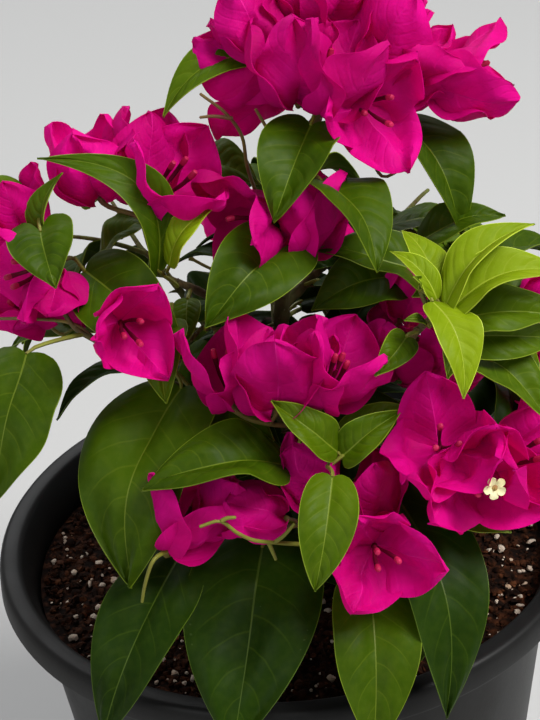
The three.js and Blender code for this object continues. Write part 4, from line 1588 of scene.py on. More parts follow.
class Bench:
    """A material while it is made."""

    def __init__(self, name: str) -> None:
        """Starts a material with one Principled shader."""
        self.material = bpy.data.materials.new(name)
        self.material.use_nodes = True
        self.tree = self.material.node_tree
        self.shader = self.tree.nodes["Principled BSDF"]

    def feed(self, socket: bpy.types.NodeSocket, value: object) -> None:
        """Links or sets a socket.

        Args:
            socket: The input socket.
            value: A Value, a socket, a colour or a number.
        """
        if isinstance(value, Value):
            value = value.socket
        if isinstance(value, bpy.types.NodeSocket):
            self.tree.links.new(value, socket)
        elif isinstance(value, tuple) and len(socket.default_value) == 4:
            socket.default_value = (*value, 1)
        else:
            socket.default_value = value

    def node(self, kind: str, settings: dict[str, object], inputs: dict) -> bpy.types.bpy_prop_collection:
        """Adds a node.

        Args:
            kind: The node's type.
            settings: Its settings, which are set first.
            inputs: Values or links by socket name or number.

        Returns:
            The node's outputs.
        """
        node = self.tree.nodes.new(kind)
        for key, value in settings.items():
            setattr(node, key, value)
        for key, value in inputs.items():
            self.feed(node.inputs[key], value)
        return node.outputs

    def value(self, kind: str, settings: dict[str, object], inputs: dict, output: str | int = 0) -> Value:
        """Adds a node whose output takes part in sums. Its arguments are as for node."""
        return Value(self, self.node(kind, settings, inputs)[output])

    def place(self, output: str = "Object") -> bpy.types.NodeSocket:
        """Returns the Object or UV coordinates."""
        return self.node("ShaderNodeTexCoord", {}, {})[output]

    def noise(self, scale: float, detail: float = 3, stretch: Triple = (1, 1, 1)) -> Value:
        """Returns noise over the Object coordinates, as a number round 0.5."""
        spot = self.node("ShaderNodeMapping", {}, {"Vector": self.place(), "Scale": stretch})[0]
        return self.value("ShaderNodeTexNoise", {}, {"Vector": spot, "Scale": scale, "Detail": detail})

    def cells(self, scale: float) -> Value:
        """Returns the distance to the nearest of scattered points."""
        inputs = {"Vector": self.place(), "Scale": scale}
        return self.value("ShaderNodeTexVoronoi", {}, inputs, "Distance")

    def veins(
        self, count: float, power: float, bend: float, scale: float, wobble: float
    ) -> tuple[Value, Value, Value]:
        """Draws side veins on a blade, which leave the midrib in turns on its left and right.

        Args:
            count: How many veins there are on each side.
            power: How sharply they bend towards the tip.
            bend: How far they bend, as a share of the length.
            scale: The scale of the noise that moves them.
            wobble: How far it does.

        Returns:
            How far along and how far out from the midrib a point lies, and how far from a vein.
        """
        parts = self.node("ShaderNodeSeparateXYZ", {}, {"Vector": self.place("UV")})
        across, along = Value(self, parts[0]), Value(self, parts[1])
        out = (across - 0.5).size() * 2
        side = (across - 0.5).ramp(-0.01, 0.01) * 0.5
        beat = (along - out**power * bend) * count + side + self.noise(scale, 2) * wobble
        return along, out, beat.swing(0.5)

    def layers(self, base: Colour, *coats: tuple[Value, Colour]) -> bpy.types.NodeSocket:
        """Lays colours over each other, each by its own share."""
        for share, colour in coats:
            base = self.node("ShaderNodeMix", {"data_type": "RGBA"}, {0: share, 6: base, 7: colour})[2]
        return base

    def bump(self, height: Value, distance: float, strength: float) -> None:
        """Feeds a height to the shader's normal, in millimetres."""
        inputs = {"Height": height, "Strength": strength, "Distance": distance * MM}
        self.set(Normal=self.node("ShaderNodeBump", {}, inputs)[0])

    def set(self, **values: object) -> None:
        """Feeds the shader's sockets, with the words of their names joined by underscores."""
        for key, value in values.items():
            self.feed(self.shader.inputs[key.replace("_", " ")], value)

    def glow(self, share: float, colour: Colour) -> None:
        """Lets light through from behind."""
        through = self.node("ShaderNodeBsdfTranslucent", {}, {"Color": colour})[0]
        inputs = {0: share, 1: self.shader.outputs[0], 2: through}
        mixed = self.node("ShaderNodeMixShader", {}, inputs)[0]
        self.feed(self.tree.nodes["Material Output"].inputs[0], mixed)


@dataclass(frozen=True)
class LeafFinish:
    """Waxy leaf: its two sides, with side veins pressed in and a soft gloss."""

    name: str
    colour: Colour
    vein: Colour
    shade: Colour
    roughness: float = 0.5
    veins: float = 6.5
    show: float = 0.36
    mottle: float = 0.16
    through: float = 0.16

    def make(self) -> Material:
        """Returns the material."""
        bench = Bench(self.name)
        along, out, beat = bench.veins(self.veins, 1.3, 0.26, 60, 0.25)
        line = (1 - beat.ramp(0.010, 0.050)) * (1 - out.ramp(0.5, 0.95)) * along.ramp(0.03, 0.12)
        relief = beat.ramp(0.0, 0.35) * (1 - out.ramp(0.6, 1.0)) * along.ramp(0.0, 0.15)
        body = bench.layers(
            self.shade, (bench.noise(24).ramp(0.3, 0.7), self.colour),
            (bench.noise(300).ramp(0.35, 0.7) * self.mottle, self.vein), (line * self.show, self.vein),
        )
        gloss = self.roughness + bench.noise(120, 2) * 0.2 - 0.1
        bench.set(Base_Color=body, Roughness=gloss, Specular_IOR_Level=0.10)
        bench.bump(relief + bench.noise(420) * 0.25, 0.4, 0.5)
        bench.glow(self.through, self.vein)
        return bench.material


@dataclass(frozen=True)
class RibFinish:
    """Midrib, leaf edge, leaf stalk or flower stalk: one tone with fine length-wise fibres."""

    name: str
    colour: Colour
    shade: Colour
    roughness: float = 0.45

    def make(self) -> Material:
        """Returns the material."""
        bench = Bench(self.name)
        body = bench.layers(self.shade, (bench.noise(90).ramp(0.3, 0.7), self.colour))
        bench.set(Base_Color=body, Roughness=self.roughness, Specular_IOR_Level=0.2)
        bench.bump(bench.noise(900, 2), 0.12, 0.5)
        return bench.material


@dataclass(frozen=True)
class BractFinish:
    """Papery bract: fine veins, faint crinkles, light that comes through, and painted shade towards its
    foot.
    """

    name: str
    colour: Colour
    deep: Colour
    vein: Colour
    through: float = 0.42
    veins: float = 7
    # Share of painted shade laid towards each bract's foot, where the bracts meet.
    throat: float = 0.4
    flecks: float = 0.30

    def make(self) -> Material:
        """Returns the material."""
        bench = Bench(self.name)
        along, out, beat = bench.veins(self.veins, 1.2, 0.42, 110, 0.5)
        line = (1 - beat.ramp(0.02, 0.10)) * (1 - out.ramp(0.6, 1.0))
        net = 1 - bench.cells(640).ramp(0.05, 0.5)
        # Towards its foot the bract takes the deep tone: painted shade in the flower's throat.
        body = bench.layers(
            self.deep, (bench.noise(34).ramp(0.28, 0.72), self.colour),
            ((1 - along.ramp(0.0, 0.45)) * self.throat, self.deep), (line * 0.15, self.vein),
            (bench.noise(340).ramp(0.38, 0.68) * self.flecks, self.deep), (net * 0.14, self.vein),
        )
        bench.set(Base_Color=body, Roughness=0.62, Specular_IOR_Level=0.08)
        crinkle = bench.noise(130) * 1.1 + bench.noise(420) * 0.35
        bench.bump(crinkle + beat.ramp(0.0, 0.2) * 0.18, 0.7, 0.9)
        bench.glow(self.through, self.vein)
        return bench.material


@dataclass(frozen=True)
class BarkFinish:
    """Thin bark: grey-brown over olive, in length-wise streaks, with pale pores."""

    name: str
    colour: Colour
    deep: Colour
    green: Colour
    pale: Colour = (0.36, 0.27, 0.17)

    def make(self) -> Material:
        """Returns the material."""
        bench = Bench(self.name)
        streak = bench.noise(420, 4, (1, 1, 0.22))
        pore = 1 - bench.cells(330).ramp(0.1, 0.22)
        body = bench.layers(
            self.deep, (streak.ramp(0.32, 0.68), self.colour),
            (bench.noise(38).ramp(0.38, 0.66) * 0.75, self.green), (pore * 0.5, self.pale),
        )
        bench.set(Base_Color=body, Roughness=0.72, Specular_IOR_Level=0.25)
        bench.bump(streak + pore * 0.4, 0.7, 0.9)
        return bench.material


@dataclass(frozen=True)
class PlasticFinish:
    """Moulded charcoal plastic: fine grain, faint upright flow lines, dust and rubbed spots."""

    name: str = "pot_plastic"
    colour: Colour = (0.0062, 0.0062, 0.0060)
    flow: Colour = (0.00837, 0.00837, 0.0081)
    dust: Colour = (0.030, 0.027, 0.023)

    def make(self) -> Material:
        """Returns the material."""
        bench = Bench(self.name)
        flow = bench.noise(16, 4, (6, 6, 0.35)).ramp(0.3, 0.75)
        grain = bench.noise(900, 2)
        smear = bench.noise(14, 5).ramp(0.45, 0.8)
        specks = (1 - bench.cells(210).ramp(0.03, 0.09)) * bench.noise(30, 2).ramp(0.5, 0.7)
        body = bench.layers(
            self.colour, (flow, self.flow), (smear * 0.28, self.dust), (specks * 0.6, self.dust)
        )
        gloss = 0.44 + smear * 0.2 + grain * 0.06
        bench.set(Base_Color=body, Roughness=gloss, Specular_IOR_Level=0.2)
        bench.bump(grain * 0.35 + flow * 0.5, 0.12, 0.6)
        return bench.material


@dataclass(frozen=True)
class SoilFinish:
    """Moist coco peat: red-brown on the fibres, with painted shade that turns the hollows of its relief near
    black.
    """

    name: str
    dark: Colour
    warm: Colour
    pale: Colour
    grain: float = 260

    def make(self) -> Material:
        """Returns the material."""
        bench = Bench(self.name)
        crumbs = bench.noise(self.grain, 4)
        patch = bench.noise(28).ramp(0.35, 0.7)
        fibre = 1 - bench.cells(self.grain * 1.6).ramp(0.06, 0.3)
        # The crumbs noise is also the relief, so the near-black base shows in its hollows: painted shade.
        body = bench.layers(
            self.dark, (crumbs.ramp(0.4, 0.7), self.warm), (patch * fibre * 0.55, self.pale)
        )
        gloss = 0.95 - crumbs.ramp(0.5, 0.8) * 0.25
        bench.set(Base_Color=body, Roughness=gloss, Specular_IOR_Level=0.12)
        bench.bump(crumbs + fibre * 0.3, 1.2, 1)
        return bench.material


@dataclass(frozen=True)
class PerliteFinish:
    """Puffed white mineral with fine pits."""

    name: str = "perlite"
    colour: Colour = (0.60, 0.49, 0.39)
    stain: Colour = (0.42, 0.27, 0.17)

    def make(self) -> Material:
        """Returns the material."""
        bench = Bench(self.name)
        stained = bench.noise(160).ramp(0.45, 0.72)
        bench.set(Base_Color=bench.layers(self.colour, (stained, self.stain)), Roughness=0.85)
        bench.bump(bench.cells(1400), 0.5, 0.8)
        return bench.material


class Tone(Enum):
    """How old a leaf is; the deep tone also stands for painted shade on leaves inside and low in the bush.
    """

    DEEP = 0
    FULL = 1
    FRESH = 2
    YOUNG = 3


LEAF_TONES = {
    Tone.DEEP: ((0.017, 0.046, 0.0002), (0.050, 0.088, 0.004), (0.009, 0.026, 0.0001)),
    Tone.FULL: ((0.051, 0.101, 0.0003), (0.112, 0.162, 0.007), (0.028, 0.061, 0.0002)),
    Tone.FRESH: ((0.078, 0.138, 0.0006), (0.155, 0.215, 0.012), (0.048, 0.096, 0.0004)),
    Tone.YOUNG: ((0.225, 0.320, 0.003), (0.320, 0.400, 0.030), (0.150, 0.240, 0.002)),
}
BRACT_TONES = (
    ((0.830, 0.0030, 0.330), (0.630, 0.0010, 0.205), (0.900, 0.008, 0.410)),
    ((0.740, 0.0025, 0.285), (0.550, 0.0010, 0.170), (0.820, 0.006, 0.360)),
    ((0.890, 0.0040, 0.380), (0.690, 0.0015, 0.235), (0.930, 0.012, 0.460)),
)

# How some flowers lie, by the foot: the way they open, in degrees anticlockwise from the viewer's right
# and in degrees towards the viewer, the turn of the first bract, the lean and the length of the bracts
LIES: dict[Triple, tuple[float, ...]] = {
    (13, -7, 409): (170, -35, -90, 42, 33),
    (17, -23, 404): (94, 14, 10, 22, 34),
    (25, -28, 403): (68, 20, -65, 25, 35),
    (24, 8, 424): (95, 10, 0, 24, 32),
    (18, 14, 407): (128, -10, 0, 24, 30),
    (8, -10, 420): (125, -15, 0, 22, 27),
    (30, 0, 424): (80, 10, 30, 18, 32),
    (39, -17, 400): (-25, 60, -90, 40, 29),
    (44, -6, 412): (45, 15, 0, 24, 33),
    (50, -9, 402): (35, 5, 40, 26, 31),
    (65, -9, 403): (10, 0, 45, 24, 33),
    (40, 14, 408): (65, 0, 0, 22, 32),
    (6, -34, 364): (200, 25, 100, 34, 31),
    (13, -44, 352): (80, 5, 60, 17, 31),
    (-61, -20, 371): (104, 20, 0, 24, 30),
    (-46, -23, 370): (86, 8, 30, 15, 33),
    (-41, -26, 371): (48, 35, 75, 33, 32),
    (-89, -28, 362): (110, 15, 0, 22, 24),
    (-80, -37, 355): (200, 25, -60, 38, 26),
    (-78, -36, 352): (-95, 15, 0, 28, 22),
    (-57, -61, 342): (-40, 58, 40, 34, 26),
    (-18, -81, 312): (97, 15, -75, 28, 32),
    (-1, -88, 312): (90, 17, 0, 27, 35),
    (16, -84, 311): (68, 24, -60, 25, 32),
    (8, -80, 312): (80, 10, 0, 20, 24),
    (49, -44, 320): (60, 10, 0, 26, 28),
    (97, -50, 306): (30, 20, 60, 30, 28),
    (96, -36, 320): (0, 10, 0, 25, 26),
    (58, -89, 290): (90, 75, -165, 40, 31),
    (69, -91, 283): (-45, 70, 80, 42, 32),
    (81, -86, 278): (20, 45, -125, 35, 33),
    (-47, -103, 264): (60, -5, -60, 34, 31),
    (-30, -94, 266): (60, 10, 0, 24, 24),
    (11, -96, 273): (100, 15, -20, 18, 27),
    (0, -96, 270): (170, 10, 20, 20, 23),
    (30, -107, 264): (-60, 70, 122, 36, 30),
    (33, -103, 267): (112, 15, 30, 25, 27),
}

# Tones by the leaf's base or its mass, and the bases of leaves with a deep heart-shaped foot. The deep tone
# on the low front masses is painted shade.
YOUNG_ABOVE = 341
ODD_TONES = {
    (-82, -41, 369): Tone.FULL, (-37, -28, 347): Tone.YOUNG, (-84, -58, 328): Tone.FULL,
    (-51, -57, 317): Tone.DEEP, (61, -94, 271): Tone.FRESH, (-39, -31, 344): Tone.FULL,
}
HEARTS = {(-82, -41, 369), (8, -47, 352)}
MASS_TONES = {
    "mass_front": Tone.DEEP, "mass_front_left": Tone.DEEP, "mass_front_right": Tone.FULL,
    "mass_right_front": Tone.DEEP, "mass_upper": Tone.FULL,
}


def under_of(colour: Colour) -> Colour:
    """Returns the paler, greyer tone of a leaf's underside."""
    r, g, b = colour
    return (r * 0.9 + 0.022, g * 0.9 + 0.030, b * 0.9 + 0.010)


@dataclass
class Foliage:
    """Leaves of all masses: cuts, ripples and tones, joined into a few pieces."""

    bush: Bush
    dice: Dice = field(default_factory=lambda: Dice(301))
    inner_deep: float = 20
    small: float = 30
    long: float = 60
    low: float = 285
    fine_from: float = 40
    rows: int = 20
    fine_rows: int = 30
    hearts: float = 0.45
    broad: float = 0.52

    def tone(self, leaf: Leaf) -> Tone:
        """Tells a leaf's age, and the painted shade it stands in, from its mass, its size and how low it
        hangs.

        Args:
            leaf: The leaf as it grew.

        Returns:
            The tone that goes with its age and with the painted shade where it hangs.
        """
        chance, size, height = self.dice.draw(), leaf.blade.length, leaf.blade.base.z
        if leaf.mass == "mass_young_shoot":
            return Tone.YOUNG if height > YOUNG_ABOVE else Tone.FRESH
        # Large inner leaves take the deep tone: painted shade inside the bush.
        if leaf.mass == Inner.NAME:
            return Tone.DEEP if size > self.inner_deep else Tone.FRESH
        if leaf.noted in ODD_TONES:
            return ODD_TONES[leaf.noted]
        if leaf.mass in MASS_TONES:
            return MASS_TONES[leaf.mass]
        if size < self.small:
            return Tone.FRESH if chance > 0.3 else Tone.YOUNG
        if leaf.mass == "mass_centre":
            return Tone.FRESH if chance > 0.4 else Tone.FULL
        # Low leaves mostly take the deep tone: painted shade low in the bush.
        if height < self.low:
            return Tone.DEEP if chance > 0.25 else Tone.FULL
        return Tone.FULL if chance > 0.3 or size > self.long else Tone.FRESH

    def ripple(self, leaf: Leaf) -> Ripple:
        """Deals out one leaf's own ripple, with the fold that it is noted with."""
        pick = self.dice.between
        dealt = pick(0.12, 0.48)
        return Ripple(
            wave=pick(0.04, 0.14), waves=pick(1.0, 2.3), phase=pick(0, 1), curl=pick(-0.22, -0.03),
            sweep=pick(-0.08, 0.08), fold=dealt if leaf.fold is None else leaf.fold,
            puff=pick(0.05, 0.16), flare=-0.12, crumple=pick(0.02, 0.06), thick=0.32,
            rib=0.22 + 0.0032 * leaf.blade.length, edge=0.24, arch=leaf.arch,
        )

    def cut(self, tone: Tone, leaf: Leaf) -> Cut:
        """Chooses the outline: slender on the young shoot, heart-shaped on some broad leaves."""
        if tone is Tone.YOUNG:
            return YOUNG_CUT
        if leaf.noted in HEARTS:
            return LOBED_CUT
        heart = self.dice.draw() < self.hearts and leaf.blade.width > self.broad * leaf.blade.length
        return HEART_CUT if heart else LEAF_CUT

    def finishes(self, tone: Tone) -> list[Material]:
        """Makes the finishes of the leaves of one tone.

        Args:
            tone: The age of the leaves.

        Returns:
            The upper side, the underside, the midrib and the edge.
        """
        colour, vein, shade = LEAF_TONES[tone]
        name = f"leaf_{tone.name.lower()}"
        under = [under_of(one) for one in (colour, vein, shade)]
        return [
            LeafFinish(name, colour, vein, shade, 0.54 if tone is Tone.YOUNG else 0.48).make(),
            LeafFinish(f"{name}_under", *under, 0.6, show=0.6).make(),
            RibFinish(f"{name}_rib", vein, tuple(0.8 * v for v in vein)).make(),
            RibFinish(f"{name}_edge", tuple(1.5 * v for v in vein), vein).make(),
        ]

    def build(self) -> list[Piece]:
        """Returns the pieces of foliage."""
        heaps = {tone: Heap() for tone in Tone}
        for leaf in self.bush.all("leaves"):
            tone = self.tone(leaf)
            rows = self.fine_rows if leaf.blade.length > self.fine_from else self.rows
            sheet = Sheet(leaf.blade, self.ripple(leaf), self.cut(tone, leaf), rows)
            sheet.add_to(heaps[tone], (0, 1, 2, 3))
        return [
            heap.piece(f"leaves_{tone.name.lower()}", self.finishes(tone))
            for tone, heap in heaps.items()
        ]


@dataclass
class Blossom:
    """Bracts and the slender true flowers that stand in them."""

    bush: Bush
    dice: Dice = field(default_factory=lambda: Dice(577))
    rows: int = 22
    longer: float = 1.02
    closer: float = 0.25
    raised: float = 3.5
    open_lean: float = 36
    tube_length: float = 0.60
    tube_radius: float = 0.85
    bud_radius: float = 1.4
    star_foot: Triple = (69, -91, 283)
    star_tube: float = 27
    star_lobe: float = 3.5

    def ripple(self, lean: float) -> Ripple:
        """Deals out one bract's own ripple, with a tip that curls out more where the flower is open."""
        pick = self.dice.between
        return Ripple(
            wave=pick(0.08, 0.26), waves=pick(1.0, 2.6), phase=pick(0, 1),
            curl=pick(-0.28, -0.04) * min(1, (lean / self.open_lean) ** 2),
            sweep=pick(-0.09, 0.09), fold=pick(0.12, 0.44), puff=-pick(0.14, 0.34),
            flare=-pick(0.03, 0.16), crumple=pick(0.04, 0.11), thick=0.2, rib=0.26, edge=0.22,
        )

    def lie(self, flower: Flower) -> tuple[Vector, Vector, float, float]:
        """Tells how a flower lies.

        Args:
            flower: The flower, with the bracts that the rule gave it.

        Returns:
            The way it opens, the side of its first bract, the bracts' lean and their length.
        """
        if flower.key() not in LIES:
            first = flower.bracts[0]
            out = square_to(first.along, flower.axis)
            return flower.axis, out, self.dice.between(22, 38), first.length
        aim, toward, turn, lean, length = LIES[flower.key()]
        right, up, back = Camera().axes()
        level = right * cos(radians(aim)) + up * sin(radians(aim))
        axis = level * cos(radians(toward)) + back * sin(radians(toward))
        return axis, turned(square_to(back, axis), axis, turn), lean, length

    def bracts(self, flower: Flower) -> list[tuple[Blade, Ripple]]:
        """Gives the three bracts of a flower as they really stand, and turns the flower to its lie.

        Args:
            flower: The flower as it grew.

        Returns:
            Each bract with its own ripple.
        """
        axis, out, lean, length = self.lie(flower)
        flower.axis = axis
        pick = self.dice.between
        made = []
        for part in BRACT.parts:
            angle = radians(lean + pick(-5, 5))
            side = turned(out, axis, part + pick(-8, 8))
            along = axis * cos(angle) + side * sin(angle)
            base = flower.foot + side * BRACT.apart * self.closer + axis * self.raised
            long = length * self.longer * pick(0.94, 1.05)
            blade = Blade(base, along, square_to(axis, along), long, long * pick(0.90, 1.03))
            blade.bow = -pick(0.08, 0.16)
            made.append((blade, self.ripple(lean)))
        return made

    def tube(self, heap: Heap, flower: Flower, bract: Blade) -> None:
        """Adds the true flower of one bract: a slender tube that ends in a swollen bud.

        Args:
            heap: What takes it.
            flower: The flower that the bract is of.
            bract: The bract that bears it.
        """
        lean = self.dice.between(0.35, 0.6)
        way = (flower.axis * lean + bract.along * (1 - lean)).normalized()
        foot = bract.base + bract.face * 0.9
        length = bract.length * self.tube_length * self.dice.between(0.85, 1.1)
        out = square_to(bract.along, flower.axis)
        tip = foot + way * length
        last = tip - flower.axis * length * 0.3 - out * 0.5

        def radius(t: float) -> float:
            """Returns the tube's radius at a share of its line, with the bud at its end."""
            swell = (self.bud_radius - self.tube_radius) * max(0, t - 0.68) / 0.32
            waist = 0.6 + 0.4 * min(1, abs(t - 0.28) / 0.2)
            return (self.tube_radius * waist + swell) * (0.72 if t == 1 else 1)

        add_tube(heap, Bend(foot, foot + bract.along * length * 0.4, last, tip), radius, 12, 8, 0, 1)

    def star(self, heap: Heap) -> None:
        """Adds the one true flower that is open: a cream star of five notched lobes on its tube.

        Args:
            heap: What takes it.
        """
        foot = Vector(self.star_foot)
        axis = next(one.axis for one in self.bush.all("flowers") if one.key() == self.star_foot)
        spot = foot + axis * self.star_tube
        add_tube(heap, Straight(foot, spot), lambda t: 0.8 + 0.5 * t**3, 8, 8, 2)
        throat = Straight(spot - axis * 0.3, spot + axis * 1.1)
        add_tube(heap, throat, lambda t: 0.6 - 0.2 * t, 2, 6, 2)
        for k in range(5):
            out = turned(aside_of(axis), axis, 72 * k)
            along = (out + axis * 0.22).normalized()
            lobe = Blade(spot + out * 0.9, along, square_to(axis, along), self.star_lobe, 3.3, bow=0.05)
            ripple = Ripple(0.2, 1.4, k / 5, -0.12, 0, 0.25, -0.1, 0, 0.02, 0.2, 0.12, 0.15)
            Sheet(lobe, ripple, STAR_CUT, 9).add_to(heap, (3, 3, 3, 3))

    def build(self) -> list[Piece]:
        """Returns the pieces of blossom."""
        heap, tubes = Heap(), Heap()
        for flower in self.bush.all("flowers"):
            tone = int(self.dice.between(0, len(BRACT_TONES)))
            for bract, ripple in self.bracts(flower):
                Sheet(bract, ripple, BRACT_CUT, self.rows).add_to(heap, (tone, tone, 3, tone))
                self.tube(tubes, flower, bract)
        self.star(tubes)
        skins = [BractFinish(f"bract_{k}", *tones).make() for k, tones in enumerate(BRACT_TONES)]
        rib = RibFinish("bract_rib", (0.72, 0.004, 0.26), (0.60, 0.002, 0.20), 0.7).make()
        return [heap.piece("bracts", [*skins, rib]), tubes.piece("flower_tubes", [
            RibFinish("tube_skin", (0.150, 0.002, 0.025), (0.070, 0.001, 0.012), 0.5).make(),
            RibFinish("tube_bud", (0.500, 0.014, 0.082), (0.330, 0.005, 0.050), 0.5).make(),
            RibFinish("star_tube", (0.420, 0.330, 0.090), (0.300, 0.080, 0.060), 0.6).make(),
            RibFinish("star_lobe", (0.820, 0.760, 0.480), (0.720, 0.640, 0.330), 0.7).make(),
        ])]


@dataclass
class Twiggery:
    """Thin wood: stems, branches, leaf stalks, flower stalks, bare stalks and thorns."""

    bush: Bush
    thorn: float = 4.2
    step: float = 2.2
    spur_step: float = 2
    slim: float = 0.92
    cup_from: float = 0.8

    def radius(self, twig: Twig, t: float) -> float:
        """Returns a twig's radius at a share of its length: a flower stalk widens at its end alone."""
        if twig.wood is Wood.FLOWER_STALK:
            t = max(0, t - self.cup_from) * 4
        return blend(twig.start, twig.end, t) * self.slim

    def build(self) -> Piece:
        """Returns the twigs as one piece."""
        heap = Heap()
        for twig in self.bush.all("twigs"):
            rings = max(5, int(twig.route.length() / self.step))
            add_tube(heap, twig.route, lambda t: self.radius(twig, t), rings, 8, twig.wood)
        for leaf in self.bush.all("leaves"):
            stalk = TWIG.petiole
            add_tube(heap, leaf.stalk, lambda t: stalk * (1.1 - 0.15 * t), 6, 6, Wood.LEAF_STALK)
        for points in SPURS:
            route = Smooth(points)
            rings = max(6, int(route.length() / self.spur_step))
            wood = Wood.LEAF_STALK if points[0][2] < YOUNG_SPURS else Wood.FLOWER_STALK
            add_tube(heap, route, lambda t: blend(SPUR_FOOT, SPUR_TIP, t), rings, 8, wood)
        for spot, way, radius in self.bush.inner.thorns:
            foot, tip = spot + way * radius * 0.7, spot + way * (radius + self.thorn)
            curve = Bend(foot, foot.lerp(tip, 0.4), foot.lerp(tip, 0.7) - UP * 0.3, tip - UP * 0.9)
            add_tube(heap, curve, lambda t: 0.75 * (1 - t) ** 0.8 + 0.08, 4, 6, Wood.STEM)
        wood = BarkFinish("twig_wood", (0.150, 0.105, 0.045), (0.080, 0.050, 0.022), (0.115, 0.125, 0.030))
        green = BarkFinish("twig_green", (0.150, 0.150, 0.035), (0.100, 0.070, 0.025), (0.130, 0.180, 0.030))
        stalk = RibFinish("flower_stalk", (0.180, 0.150, 0.035), (0.160, 0.060, 0.040))
        leaf_stalk = RibFinish("leaf_stalk", (0.230, 0.250, 0.032), (0.160, 0.150, 0.025))
        return heap.piece("twigs", [finish.make() for finish in (wood, green, stalk, leaf_stalk)])


def push_about(piece: Piece, scale: float, depth: int, strength: float, way: str = "NORMAL") -> None:
    """Pushes the surface of the active object about by noise.

    Args:
        piece: The object.
        scale: The noise's scale, in metres.
        depth: How many finer noises are added.
        strength: How far it pushes, in millimetres.
        way: Blender's name for the direction.
    """
    relief = bpy.data.textures.new(f"{piece.name}_relief", "CLOUDS")
    relief.noise_scale, relief.noise_depth = scale, depth
    push = piece.modifiers.new("Relief", "DISPLACE")
    push.texture, push.texture_coords = relief, "LOCAL"
    push.direction, push.strength = way, strength * MM
    bpy.ops.object.modifier_apply(modifier=push.name)


@dataclass
class Limbs:
    """Trunk and boughs: swept along their routes, with old leaf scars and bark relief."""

    bush: Bush
    dice: Dice = field(default_factory=lambda: Dice(91))
    step: float = 1.6
    knob_step: float = 14
    knob_rise: float = 0.16
    knob_from: float = 0.72
    relief: tuple[float, int, float] = (0.004, 3, 0.9)

    def knob(self, run: float) -> float:
        """Returns the swelling at old leaf scars, for a distance along a limb."""
        beat = abs(run / self.knob_step % 1 - 0.5) * 2
        return 1 + self.knob_rise * max(0, beat - self.knob_from) / (1 - self.knob_from)

    def sweep(self, name: str, runs: list[tuple[Route, Callable[[float], float]]]) -> Piece:
        """Sweeps a ring along routes.

        Args:
            name: The piece's name.
            runs: Each route with its radius at a share of its length.

        Returns:
            The mesh object.
        """
        bpy.ops.object.select_all(action="DESELECT")
        bpy.ops.object.add(type="CURVE")
        piece = bpy.context.object
        piece.name = name
        data = piece.data
        data.dimensions = "3D"
        data.bevel_depth, data.bevel_resolution = MM, 4
        data.use_fill_caps = True
        for route, radius in runs:
            count = max(6, int(route.length() / self.step))
            line = data.splines.new("POLY")
            line.points.add(count)
            offset = self.dice.between(0, self.knob_step)
            for i, point in enumerate(line.points):
                t = i / count
                point.co = (*(route.at(t) * MM), 1)
                point.radius = radius(t) * self.knob(offset + t * route.length())
        bpy.ops.object.convert(target="MESH")
        piece = bpy.context.object
        push_about(piece, *self.relief)
        bpy.ops.object.shade_smooth()
        return piece

    def build(self) -> tuple[Piece, Piece]:
        """Returns the trunk and the boughs."""
        trunk = self.sweep("trunk_bark", [(self.bush.trunk, self.bush.trunk_radius)])
        boughs = self.sweep("bough_bark", [
            (route, lambda t: blend(BOUGH_FOOT, BOUGH_TIP, t)) for route in self.bush.boughs.values()
        ])
        old = BarkFinish("bark", (0.190, 0.130, 0.070), (0.085, 0.052, 0.028), (0.110, 0.110, 0.035))
        young = BarkFinish("bough_bark", (0.170, 0.120, 0.055), (0.080, 0.052, 0.025), (0.100, 0.120, 0.030))
        trunk.data.materials.append(old.make())
        boughs.data.materials.append(young.make())
        return trunk, boughs


def disc(name: str, sides: int, radius: float, level: float) -> Piece:
    """Returns a new flat disc, with its height in its mesh."""
    bpy.ops.object.select_all(action="DESELECT")
    bpy.ops.mesh.primitive_circle_add(
        vertices=sides, radius=radius * MM, fill_type="NGON", location=(0, 0, level * MM)
    )
    piece = bpy.context.object
    piece.name = name
    bpy.ops.object.transform_apply(location=True, rotation=False, scale=False)
    return piece


def draw_out(rings: Sequence[tuple[float, float]], smooth: float) -> None:
    """Draws the edge of the active disc out through rings, and closes the last one.

    Args:
        rings: The radius and height of each ring, from the disc's own edge on.
        smooth: Edges sharper than this angle, in degrees, stay sharp.
    """
    bpy.ops.object.mode_set(mode="EDIT")
    bpy.ops.mesh.select_mode(type="EDGE")
    bpy.ops.mesh.select_all(action="SELECT")
    bpy.ops.mesh.region_to_loop()
    for (before, low), (after, high) in zip(rings, rings[1:]):
        bpy.ops.mesh.extrude_edges_move(TRANSFORM_OT_translate={"value": (0, 0, (high - low) * MM)})
        share = after / before
        bpy.ops.transform.resize(value=(share, share, 1), center_override=(0, 0, 0))
    bpy.ops.mesh.edge_face_add()
    bpy.ops.mesh.select_all(action="SELECT")
    bpy.ops.mesh.normals_make_consistent(inside=False)
    bpy.ops.object.mode_set(mode="OBJECT")
    bpy.ops.object.shade_smooth_by_angle(angle=radians(smooth))


